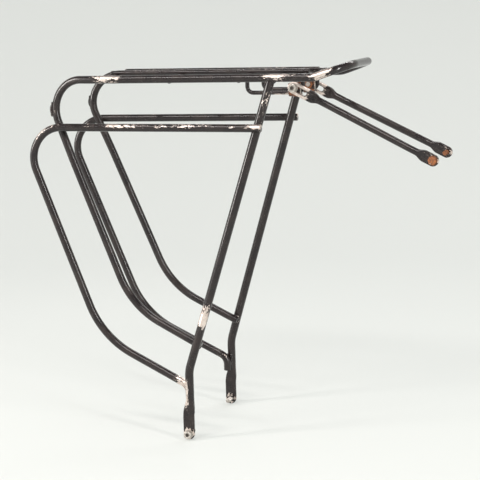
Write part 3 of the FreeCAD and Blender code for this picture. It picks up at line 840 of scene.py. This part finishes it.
class RACK_OT_side_frames(RackOperator, bpy.types.Operator):
    """Bend the legs, the pannier rails, the stays, the stay loops and the strap hooks"""

    bl_idname = "rack.side_frames"
    bl_label = "Side frames"

    def execute(self, context):
        for label, side in SIDES:
            self.legs(label, side)
            self.rails(label, side)
            self.small_rods(label, side)
        return {"FINISHED"}

    def legs(self, label, side):
        s, g = sizes(), Layout(side)
        half_tab = s.tab_width / 2
        foot, corner = g.foot, g.leg_corner
        # The paint has gone from two spots above the rear stay's weld.
        head, rubbed, rubbed_low = (at_height(g.leg_head, corner, height) for height in
                                    (g.deck_height - 2 * MM, 134 * MM, 124 * MM))
        line = Line([
            foot - UP * half_tab,
            foot + UP * (g.flat_foot - 3 * MM),
            np.array([corner[0], corner[1], g.round_foot - 2 * MM]),
            corner,
            head,
        ], [20 * MM, 20 * MM, 40 * MM])

        def rub(points, outwards):
            out = smooth(outwards[..., 1] * side, -0.4, 0.6)
            bolt = 0.85 * near(points, foot + LEFTWARD * side * 3 * MM, 8.5 * MM)
            z = points[..., 2]
            shin = smooth(z, 22 * MM, 34 * MM) * smooth(z, 66 * MM, 54 * MM)
            shin = shin * smooth(-outwards[..., 0], -0.40, 0.30) * out
            return (0.12 + 0.66 * shin + 0.75 * near(points, rubbed, 11 * MM) * out
                    + 0.85 * near(points, rubbed_low, 7 * MM) * out + bolt
                    + 0.42 * near(points, head - UP * 24 * MM, 20 * MM) * out)

        skin = tabbed_rod(line, s.leg_rod, FORWARD, (g.flat_foot + half_tab, 0),
                          g.round_foot - g.flat_foot, rub)
        hole = drill(foot, LEFTWARD, UP, s.eyelet / 2, s.tab_thick / 2)
        stand_for(f"main_leg_{label}", "_rod", [skin], [hole])

    def rails(self, label, side):
        s, g = sizes(), Layout(side)

        def rail_rub(points, outwards):
            x = points[..., 0]
            hooks = smooth(0.75 * outwards[..., 2] + 0.55 * outwards[..., 1] * side, 0.15, 0.85)
            worn = 0.50 * smooth(x, -135 * MM, -115 * MM) + 0.10 * smooth(x, 40 * MM, 85 * MM)
            wave = 0.78 + 0.26 * np.sin(x / (13 * MM) + 0.8) + 0.14 * np.sin(x / (4.3 * MM) + 1)
            bend = 0.60 * near(points, g.rail[1] + np.array([26, 0, -4]) * MM, 26 * MM)
            tip = 0.35 * near(points, g.rail[0], 9 * MM)
            return (worn * wave + bend) * hooks + tip + 0.10

        def outer_rub(points, outwards):
            tip = near(points, g.outer_stay[3] + np.array([-6, 0, 4]) * MM, 14 * MM)
            rubbed = 0.72 if side < 0 else 0.30
            return 0.10 + rubbed * tip + 0.2 * near(points, g.outer_stay[2], 30 * MM)

        def rear_rub(points, outwards):
            return 0.12 + 0.2 * near(points, g.rear_stay[2], 26 * MM)

        rod_for(f"pannier_rail_{label}", g.rail, g.rail_radii, s.rail_rod, UP, rail_rub, (False, True))
        rod_for(f"outer_stay_{label}", g.outer_stay, g.outer_stay_radii, s.rail_rod, LEFTWARD,
                outer_rub, (True, False))
        rod_for(f"rear_stay_{label}", g.rear_stay, g.rear_stay_radii, s.rail_rod, LEFTWARD,
                rear_rub, (True, False))

    def small_rods(self, label, side):
        s, g = sizes(), Layout(side)
        y = g.loop_half * side
        top = g.bar_height - BURIED
        behind, ahead = g.loop_ends
        corners = [(behind, top), (behind, g.loop_height), (ahead, g.loop_height), (ahead, top)]

        def loop_rub(points, outwards):
            x = points[..., 0]
            slid = smooth(x, 84 * MM, 96 * MM) * (1 - smooth(x, 118 * MM, 122 * MM))
            return 0.12 + 0.55 * slid * smooth(-outwards[..., 2], -0.6, 0.6)

        rod_for(f"stay_loop_{label}", [np.array([x, y, z]) for x, z in corners], [6.5 * MM] * 2,
                s.loop_rod, LEFTWARD, loop_rub)
        rod_for(f"strap_hook_{label}", g.hook, [9 * MM], s.hook_rod, LEFTWARD, 0.3)


class RACK_OT_front_stays(RackOperator, bpy.types.Operator):
    """Make the front stays, slotted at the rear and drilled at the front"""

    bl_idname = "rack.front_stays"
    bl_label = "Front stays"

    def execute(self, context):
        s = sizes()
        half_tab = s.tab_width / 2
        flat_rear, flat_front, taper, straight = 22 * MM, 10 * MM, 9 * MM, 7 * MM
        slot = 13.0 * MM
        for label, side in SIDES:
            g = Layout(side)

            def along(distance, half):
                return g.bolt + g.down * distance + LEFTWARD * half * side

            line = Line([
                along(-half_tab, g.stay_half),
                along(flat_rear + taper + straight, g.stay_half),
                along(g.stay_length - flat_front - taper - straight, g.front_half),
                along(g.stay_length + half_tab, g.front_half),
            ], [60 * MM, 60 * MM])
            across = np.cross(g.down, LEFTWARD)
            eye = along(g.stay_length, g.front_half)

            def rub(points, outwards):
                distance = (points - g.bolt) @ g.down
                bare = 0.95 * (1 - smooth(distance, 10 * MM, 24 * MM))
                front = 0.38 * near(points, eye, 11 * MM)
                shaft = 0.12 + 0.10 * smooth(outwards[..., 2], 0, 1)
                return np.maximum(bare, front) + shaft

            skin = tabbed_rod(line, s.stay_rod, across, (half_tab + flat_rear, half_tab + flat_front),
                              taper, rub)
            cutters = [
                drill(along(0, g.stay_half), LEFTWARD, g.down, s.eyelet / 2, s.tab_thick / 2, slot),
                drill(eye, LEFTWARD, g.down, s.eyelet / 2, s.tab_thick / 2),
            ]
            stand_for(f"front_stay_{label}", "_rod", [skin], cutters)
        return {"FINISHED"}


class RACK_OT_clips(RackOperator, bpy.types.Operator):
    """Fold the two clips round their loops and drill their ears"""

    bl_idname = "rack.clips"
    bl_label = "Stay clips"

    def execute(self, context):
        s = sizes()
        for label, side in SIDES:
            g = Layout(side)
            node = f"stay_clip_{label}"
            (width, breadth, _), wall = extent(node), 1.6 * MM
            bend = breadth / 2 - wall / 2
            x, y = middle(node)[0], middle(node)[1]
            centre = np.array([x, y, g.loop_height])
            ear = high(node)[2] - g.loop_height
            bottom = centre - UP * bend
            # The two bends all but meet under the loop.
            line = Line([
                centre - LEFTWARD * bend + UP * ear,
                bottom - LEFTWARD * bend,
                bottom + LEFTWARD * bend,
                centre + LEFTWARD * bend + UP * ear,
            ], [bend * 0.999] * 2)
            corner = 2.6 * MM
            angle = np.linspace(0.12, math.pi / 2, 10)
            tip = corner * (1 - np.cos(angle))
            inner = np.linspace(corner, line.length - corner, 64)[1:-1]
            places = np.concatenate([tip, inner, line.length - tip[::-1]])
            drawn = corner * (1 - np.sin(angle))
            inset = np.concatenate([drawn, np.zeros_like(inner), drawn[::-1]])

            def rub(points, outwards):
                return 0.25 + 0.55 * smooth(np.abs(points[..., 0] - x), width / 2 - 1.6 * MM, width / 2)

            strip = strung(line, places, FORWARD, width / 2 - inset, wall / 2, 9.0, 72, rub)
            hole = drill(np.array([x, y, g.bolt[2]]), LEFTWARD, UP, s.eyelet / 2, bend + wall / 2)
            stand_for(node, "_strip", [strip], [hole], 32.0)
        return {"FINISHED"}


# ---------------------------------------------------------------- turned and threaded pieces
TURNED = 96
# A surface that closes on its axis ends in a ring this small.
AXIS_RADIUS = 0.02 * MM


def turned(radii, heights, wear, origin, axis, endless=False, spin=0.0):
    """A surface about an axis: row by row a radius and a height, either of which may vary round it."""
    x_way = unit(np.cross(axis, FORWARD))
    y_way = np.cross(axis, x_way)
    turn = full_turn(TURNED) + spin
    x, y = radii * np.cos(turn), radii * np.sin(turn)
    grid = origin + x[..., None] * x_way + y[..., None] * y_way + heights[..., None] * axis
    return Skin(grid, None, wear, endless)


def hexagon(flats):
    """Distance from the centre to a hexagon's edge: half the flats over cos of the angle off the flat."""
    turn = full_turn(TURNED)
    off_flat = (turn + math.pi / 6) % (math.pi / 3) - math.pi / 6
    return flats / 2 / np.cos(off_flat)


def crown(flats):
    """A hexagon's edge, its flat circle's radius, and how far thirty degrees falls from one to the other."""
    flat_share = 0.93
    edge, flat = hexagon(flats), flats / 2 * flat_share
    return edge, flat, (edge - flat) * math.tan(math.radians(30))


def rows(*rings):
    """Stack rings of radius, height and wear, which on fixings is dirt and painted shade, each a number or an
    array round the axis.
    """
    return [np.stack([np.broadcast_to(ring[k], TURNED) for ring in rings]) for k in range(3)]


def thread(start, end, radius, pitch):
    """Rows of a screw thread that winds downward from start to end.

    The radius dips below the crest by the thread's depth times a flattened triangle
    wave of height over pitch plus turn over a full circle, faded out at both ends.
    """
    depth = 0.54 * pitch
    steps = max(8, int((start - end) / pitch * 7))
    height = np.linspace(start, end, steps)[:, None]
    turn = np.linspace(0, 1, TURNED, endpoint=False)[None, :]
    phase = (height / pitch + turn) % 1.0
    dip = np.clip(1.25 * (1 - np.abs(2 * phase - 1)) - 0.12, 0, 1)
    fade = smooth(start - height, 0, pitch) * smooth(height - end, -0.2 * pitch, 0.8 * pitch)
    tip = smooth(height - end, 0.9 * pitch, 0.0) * 0.45 * pitch
    return radius - depth * dip * fade - tip, np.broadcast_to(height, phase.shape)


def screw(head, neck, length):
    """A head's rows, then a plain neck, a thread and a closed tip. Heights fall from the head down."""
    s = sizes()
    dirt = 0.45
    neck_radius = s.neck / 2 if neck else s.thread / 2 - 0.05 * MM
    neck_end = -max(neck, 0.4 * MM)
    radii, heights = thread(neck_end, -length, s.thread / 2, s.pitch)
    parts = (
        head,
        rows((neck_radius, 0.0, dirt), (neck_radius, neck_end, dirt)),
        (radii, heights, np.full(radii.shape, dirt)),
        rows((s.thread / 2 * 0.55, -length, dirt), (AXIS_RADIUS, -length, dirt)),
    )
    return [np.concatenate(blocks) for blocks in zip(*parts)]


def socket_head(height):
    """Rows of a socket head from the bottom of its socket to the bearing face."""
    head, rim, socket = 8.5 * MM / 2, 0.6 * MM, hexagon(4.0 * MM)
    floor_height = height - 2.6 * MM
    turn = full_turn(TURNED)
    # Each ring's third number is its dirt and painted shade: darkest down the socket, lightest on the crown.
    rings = [(AXIS_RADIUS, floor_height - 0.5 * MM, 1.0), (0.9 * MM, floor_height - 0.25 * MM, 1.0),
             (socket - 0.05 * MM, floor_height, 1.0), (socket, floor_height + 0.08 * MM, 0.9),
             (socket, height - 0.35 * MM, 0.55),
             (np.maximum(socket, 2.35 * MM) + 0.05 * MM, height - 0.03 * MM, 0.15),
             (2.6 * MM, height, 0.05)]
    rings += [(head - rim + rim * math.sin(a), height - rim + rim * math.cos(a), 0.0)
              for a in np.linspace(0, math.pi / 2, 7)]
    rings += [(head - 0.09 * MM * (0.5 + 0.5 * np.cos(24 * turn + h / (0.42 * MM))), h, 0.35)
              for h in np.linspace(height - rim - 0.15 * MM, 0.45 * MM, 9)]
    rings += [(head, 0.25 * MM, 0.3), (head - 0.2 * MM, 0.0, 0.5), (head - 0.6 * MM, 0.0, 0.6)]
    return rows(*rings)


def hex_head(height):
    """Rows of a hexagon head: the crown falls away at thirty degrees beyond its flat circle."""
    flats = 8.0 * MM
    edge, flat, fall = crown(flats)
    # Each ring's third number is its dirt and painted shade: darker down the sides towards the bearing face.
    return rows((AXIS_RADIUS, height, 0.25), (flat * 0.5, height, 0.2), (flat, height, 0.0),
                (edge, height - fall, 0.0), (edge, height * 0.5, 0.6), (edge, 0.12 * MM, 0.9),
                (edge - 0.12 * MM, 0.0, 1.0), (flats * 0.4, 0.0, 1.0))


def washer_skin(node, axis):
    """A washer: a closed oblong section with rounded corners, carried round the axis."""
    outer, inner = max(extent(node)) / 2, sizes().eyelet / 2
    across, heights = superellipse(full_turn(24), (outer - inner) / 2, min(extent(node)) / 2, 7.0)
    radii = (outer + inner) / 2 + across
    # Dirt and painted shade: the washer darkens towards its hole, round whatever bears on its faces.
    clean = 0.55 if SLOTS[node] == "rusty_steel" else 0.12
    dirt = clean + (0.95 - clean) * smooth(radii, 4.7 * MM, 4.0 * MM)
    return turned(*rows(*zip(radii, heights, dirt)), middle(node), axis, True)


def nut_skin(node, axis):
    """A nut: both faces fall away at thirty degrees beyond a flat circle, and the bore is chamfered."""
    _, thick, flats = extent(node)
    half = thick / 2
    edge, flat, fall = crown(flats)
    bore, mouth, chamfer = 2.42 * MM, 2.75 * MM, 0.4 * MM
    # Each ring's third number is its dirt and painted shade: darkest in the bore and its mouth.
    profile = [(bore, chamfer - half, 0.9), (mouth, -half, 0.7), (flat, -half, 0.2),
               (edge, fall - half, 0.0), (edge, 0.0, 0.2), (edge, half - fall, 0.0),
               (flat, half, 0.2), (mouth, half, 0.7), (bore, half - chamfer, 0.9)]
    return turned(*rows(*profile), middle(node), axis, True)


class RACK_OT_fixings(RackOperator, bpy.types.Operator):
    """Turn the bolts, nuts and washers"""

    bl_idname = "rack.fixings"
    bl_label = "Bolts, nuts and washers"

    def execute(self, context):
        grip = sizes().tab_thick + 1.0 * MM + 0.5 * MM
        # Each fixing was left at its own turn.
        spins = iter(np.random.default_rng(7).uniform(0, math.pi / 3, 12))
        kinds = (("clip", 0.0, socket_head, 5.0 * MM), ("foot", grip, socket_head, 5.0 * MM),
                 ("frame", grip, hex_head, 3.5 * MM))
        for label, side in SIDES:
            out = LEFTWARD * side
            for kind, neck, head, height in kinds:
                bolt, washer = f"{kind}_bolt_{label}", f"{kind}_washer_{label}"
                total = extent(bolt)[1]
                under_head = middle(bolt) + out * (total / 2 - height)
                skin = turned(*screw(head(height), neck, total - height), under_head, out,
                              spin=next(spins))
                stand_for(bolt, "_screw", [skin], crease=34.0)
                stand_for(washer, "_disc", [washer_skin(washer, out)])
            nut = f"clip_nut_{label}"
            stand_for(nut, "_hex", [nut_skin(nut, out)], crease=30.0)
        return {"FINISHED"}


# ---------------------------------------------------------------- welds
class Welder:
    """Lays weld beads: rippled ropes of metal along a seam."""

    def __init__(self):
        self.random = np.random.default_rng(41)
        self.skins = []

    def rope(self, points, away, radius, ripple=0.95 * MM, closed=True):
        """A bead along points. away is each point's direction off the seam.

        Its radius rises and falls once per ripple, as the filler was fed in drops, and
        wanders a little: r (0.92 + 0.17 |sin(pi d / ripple)| + slow noise).
        """
        hops = np.linalg.norm(np.roll(points, -1, 0) - points, axis=1)
        distance = np.concatenate([[0], np.cumsum(hops[:-1])])
        total = hops.sum() if closed else distance[-1]
        drops = max(3, round(total / ripple))
        phase = distance / total * drops
        slow = sum(self.random.uniform(0.02, 0.06) * np.sin(2 * math.pi * k * distance / total
                                                            + self.random.uniform(0, 6))
                   for k in (1, 2, 3))
        size = radius * (0.92 + 0.17 * np.abs(np.sin(math.pi * phase)) + slow)
        if closed:
            heading = unit(np.roll(points, -1, 0) - np.roll(points, 1, 0))
        else:
            heading = unit(np.gradient(points, axis=0))
            ends = np.minimum(distance, total - distance) / (1.6 * radius)
            size = size * np.sqrt(np.clip(1 - (1 - np.clip(ends, 0.02, 1)) ** 2, 0, 1))
        wide = unit(away - np.sum(away * heading, -1, keepdims=True) * heading)
        wear = 0.25 + 0.25 * self.random.uniform(0, 1)
        self.skins.append(swept(distance, points, heading, wide, size, size, 2.0, 16, wear, closed))

    def tee(self, start, along, radius, onto, onto_along, onto_radius, bead):
        """Round the end of one rod where its skin meets another rod's.

        A point of the skin q travels along d until its distance to the other rod's
        axis is that rod's radius: the smaller root of |w + t d| = R with the parts
        along the other axis removed.
        """
        first = unit(np.cross(along, onto_along))
        second = np.cross(along, first)
        turn = full_turn(120)[:, None]
        spoke = first * np.cos(turn) + second * np.sin(turn)
        skin = start + radius * spoke
        offset = skin - onto
        offset = offset - (offset @ onto_along)[:, None] * onto_along
        step = along - (along @ onto_along) * onto_along
        a = step @ step
        b = 2 * offset @ step
        c = np.sum(offset**2, 1) - onto_radius**2
        travel = (-b - np.sqrt(np.clip(b * b - 4 * a * c, 0, None))) / (2 * a)
        self.rope(skin + travel[:, None] * along, spoke, bead)

    def lap(self, place, normal, first_way, first_radius, second_way, second_radius, bite, bead):
        """Round the contact of two crossed rods.

        In the plane of contact a rod's skin falls away by x^2 / 2r, where x is the
        distance from its axis, so the skins meet where x1^2 / 2r1 + x2^2 / 2r2 is the bite.
        """
        one = unit(np.cross(normal, first_way))
        two = unit(np.cross(normal, second_way))
        turn = full_turn(120)
        x = math.sqrt(2 * first_radius * bite) * np.cos(turn)
        y = math.sqrt(2 * second_radius * bite) * np.sin(turn)
        # Solve p . one = x and p . two = y for p in the plane.
        cross = np.cross(one, two) @ normal
        p = (x[:, None] * np.cross(two, normal) - y[:, None] * np.cross(one, normal)) / cross
        self.rope(place + p, unit(p), bead)

    def line(self, start, end, away, bead):
        count = max(12, int(np.linalg.norm(end - start) / (0.25 * MM)))
        t = np.linspace(0, 1, count)[:, None]
        self.rope(start + (end - start) * t, np.broadcast_to(away, (count, 3)), bead, closed=False)


class RACK_OT_welds(RackOperator, bpy.types.Operator):
    """Weld every joint of the rack"""

    bl_idname = "rack.welds"
    bl_label = "Weld beads"

    def execute(self, context):
        self.deck()
        for label, side in SIDES:
            self.side(label, side)
        return {"FINISHED"}

    def deck(self):
        s, g = sizes(), Layout(1)
        w = Welder()
        _, rod_half, _ = middle("inner_deck_rod_left")
        rod_bottom = high("inner_deck_rod_left")[2] - s.inner_rod
        for x in g.bar_places.values():
            for side in (-1, 1):
                w.tee(np.array([x, side * g.deck_half * 0.5, g.bar_height]), LEFTWARD * side,
                      s.cross_rod / 2, np.array([x, side * g.deck_half, g.deck_height]), FORWARD,
                      s.hoop_rod / 2, s.bead * 0.5)
                contact = np.array([x, side * rod_half, rod_bottom + 0.25 * MM])
                w.lap(contact, UP, FORWARD, s.inner_rod / 2, LEFTWARD, s.cross_rod / 2,
                      0.9 * MM, s.bead * 0.62)
        for x in g.loop_ends:
            for side in (-1, 1):
                w.tee(np.array([x, side * g.loop_half, g.loop_height + 4 * MM]), UP, s.loop_rod / 2,
                      np.array([x, 0, g.bar_height]), LEFTWARD, s.cross_rod / 2, s.bead * 0.62)
        piece("deck_weld_beads", w.skins, "black_paint", "rack")

    def side(self, label, side):
        s, g = sizes(), Layout(side)
        w = Welder()
        out = LEFTWARD * side
        rail_r, leg_r, hoop_r = s.rail_rod / 2, s.leg_rod / 2, s.hoop_rod / 2
        leg_way = unit(g.leg_head - g.leg_corner)
        # The leg is the thicker rod, so its bead runs just inside the leg's own skin.
        w.tee(g.leg_head - leg_way * 40 * MM, leg_way, leg_r - 0.45 * MM, g.leg_head, FORWARD, hoop_r,
              s.bead * 0.9)
        rail_way = unit(g.rail[0] - g.rail[1])
        back_way = unit(g.hoop_end - g.hoop_corner)
        stay_way = unit(g.rear_stay[3] - g.rear_stay[2])
        # The rods bite half a millimetre into each other, and each lap's middle lies halfway in.
        # The beads lie a little wider than that bite.
        sunk, spread = 0.25 * MM, 1.0 * MM
        for place, first_way, first_r, second_way, second_r in (
                (g.rail_weld + out * (leg_r - sunk), leg_way, leg_r, rail_way, rail_r),
                (g.crossing - out * (rail_r - sunk), rail_way, rail_r, back_way, hoop_r),
                (g.stay_weld - out * (leg_r - sunk), leg_way, leg_r, stay_way, rail_r)):
            w.lap(place, out, first_way, first_r, second_way, second_r, spread, s.bead)
        # The outer stay lies along the leg, with a straight bead on each side of the contact.
        end, flat = g.outer_stay[-1], np.array([1.0, 1.0, 0.0])
        toward = unit((g.leg_corner - end) * flat)
        contact = end * flat + toward * rail_r
        square = np.cross(toward, UP)
        for away in (-square, square):
            start = contact + away * 2.7 * MM
            w.line(start + UP * 37.5 * MM, start + UP * 55 * MM, away, s.bead * 0.85)
        for tip in (g.hook[0], g.hook[2]):
            way = unit(tip - g.hook[1])
            w.tee(tip - way * 6 * MM, way, s.hook_rod / 2, np.array([g.back_x, tip[1], tip[2]]), UP,
                  hoop_r, s.bead * 0.5)
        piece(f"side_weld_beads_{label}", w.skins, "black_paint", "rack")


# ---------------------------------------------------------------- stage
class RACK_OT_stage(RackOperator, bpy.types.Operator):
    """Lay the floor and backdrop, set the lights and place the camera"""

    bl_idname = "rack.stage"
    bl_label = "Stage"

    def execute(self, context):
        low_corner, high_corner = (np.array(c, float) for c in CAD_BOX)
        centre = (low_corner + high_corner) / 2
        self.bowl(centre, low_corner[2])
        # Each family of rods shows a long highlight from one box: the deck from above,
        # the legs from the left, the stays from the right and the far edges from behind.
        warm, plain = (1.0, 0.955, 0.925), (1.0, 0.98, 0.965)
        for name, offset, wide, deep, power, colour in (
                ("top_box", (-0.15, -1.4, 1.65), 1.9, 0.20, 33.0, warm),
                ("left_box", (-1.8, -1.15, 0.5), 0.36, 1.4, 48.0, warm),
                ("right_box", (1.75, -1.0, 0.75), 0.18, 1.2, 22.0, plain),
                ("back_box", (0.3, 1.5, 1.6), 1.7, 0.16, 14.0, plain)):
            self.light(name, centre + np.array(offset), centre, (wide, deep), power, colour)
        world = bpy.data.worlds.new("studio")
        world.use_nodes = True
        ground = world.node_tree.nodes["Background"]
        ground.inputs["Color"].default_value = (0.95, 0.96, 1.0, 1.0)
        ground.inputs["Strength"].default_value = 0.33
        context.scene.world = world
        context.scene.view_settings.view_transform = "Standard"
        self.camera(context)
        return {"FINISHED"}

    def bowl(self, centre, floor_height):
        """A round floor that curves up into a wall: radius and height follow a quarter circle."""
        flat, cove, wall, around, rings = 1.1, 1.9, 2.6, 128, 12
        drop = 0.1 * MM
        arc = np.linspace(0, math.pi / 2, 33)[1:]
        radius = np.concatenate([[0.01], np.linspace(0.1, flat, rings), flat + cove * np.sin(arc),
                                 [flat + cove]])[:, None]
        height = np.concatenate([np.zeros(rings + 1), cove * (1 - np.cos(arc)), [wall]])[:, None]
        turn = full_turn(around)
        x, y = centre[0] + radius * np.cos(turn), centre[1] + radius * np.sin(turn)
        skin = Skin(np.stack([x, y, np.broadcast_to(height + floor_height - drop, x.shape)], -1))
        # The last face would close the bowl's open top.
        skin.faces = skin.faces[:-1]
        mesh = mesh_of("floor_and_backdrop", [skin])
        mesh.materials.append(material("stage_paper"))
        mesh.shade_smooth()
        added("floor_and_backdrop", mesh)

    def light(self, name, place, target, size, power, colour):
        data = bpy.data.lights.new(name, "AREA")
        data.shape = "RECTANGLE"
        data.size, data.size_y = size
        data.energy = power
        data.color = colour
        self.stand(name, data, place, Vector(target - place).to_track_quat("-Z", "Y"))

    def camera(self, context):
        """The camera stands ahead of the rack's middle on its right, a little above the deck."""
        place = Vector((0.535, -1.544, 0.465))
        target = Vector((0.040, 0.0, 0.203))
        lean = math.radians(1.6)
        back = (place - target).normalized()
        right = Vector((math.sin(lean), 0.0, math.cos(lean))).cross(back).normalized()
        data = bpy.data.cameras.new("camera")
        data.sensor_width = 36.0
        data.lens = 111.0
        data.dof.use_dof = False
        turn = Matrix((right, back.cross(right), back)).transposed()
        context.scene.camera = self.stand("camera", data, place, turn.to_quaternion())

    def stand(self, name, data, place, turn):
        """Put a lamp or a camera in its place, turned as given."""
        obj = added(name, data)
        obj.location = place
        obj.rotation_mode = "QUATERNION"
        obj.rotation_quaternion = turn
        return obj


class RACK_PT_panel(bpy.types.Panel):
    """The rack's operators and settings in the 3D view's sidebar."""

    bl_idname = "RACK_PT_panel"
    bl_label = "Bicycle rear rack"
    bl_space_type = "VIEW_3D"
    bl_region_type = "UI"
    bl_category = "Rack"

    def draw(self, context):
        for operator in OPERATORS:
            self.layout.operator(operator.bl_idname)
        for group, settings in ((RACK_PG_sizes, context.scene.rack_sizes),
                                (RACK_PG_finish, context.scene.rack_finish)):
            box = self.layout.box()
            for key in group.__annotations__:
                box.prop(settings, key)


OPERATORS = (RACK_OT_deck, RACK_OT_side_frames, RACK_OT_front_stays, RACK_OT_clips,
             RACK_OT_fixings, RACK_OT_welds, RACK_OT_stage)
CLASSES = (RACK_PG_sizes, RACK_PG_finish, *OPERATORS, RACK_PT_panel)


def register():
    for cls in CLASSES:
        bpy.utils.register_class(cls)
    bpy.types.Scene.rack_sizes = bpy.props.PointerProperty(type=RACK_PG_sizes)
    bpy.types.Scene.rack_finish = bpy.props.PointerProperty(type=RACK_PG_finish)


def unregister():
    del bpy.types.Scene.rack_finish
    del bpy.types.Scene.rack_sizes
    for cls in reversed(CLASSES):
        bpy.utils.unregister_class(cls)


def main():
    register()
    bpy.ops.rack.deck()
    bpy.ops.rack.side_frames()
    bpy.ops.rack.front_stays()
    bpy.ops.rack.clips()
    bpy.ops.rack.fixings()
    bpy.ops.rack.welds()
    bpy.ops.rack.stage()


if __name__ == "__main__":
    main()
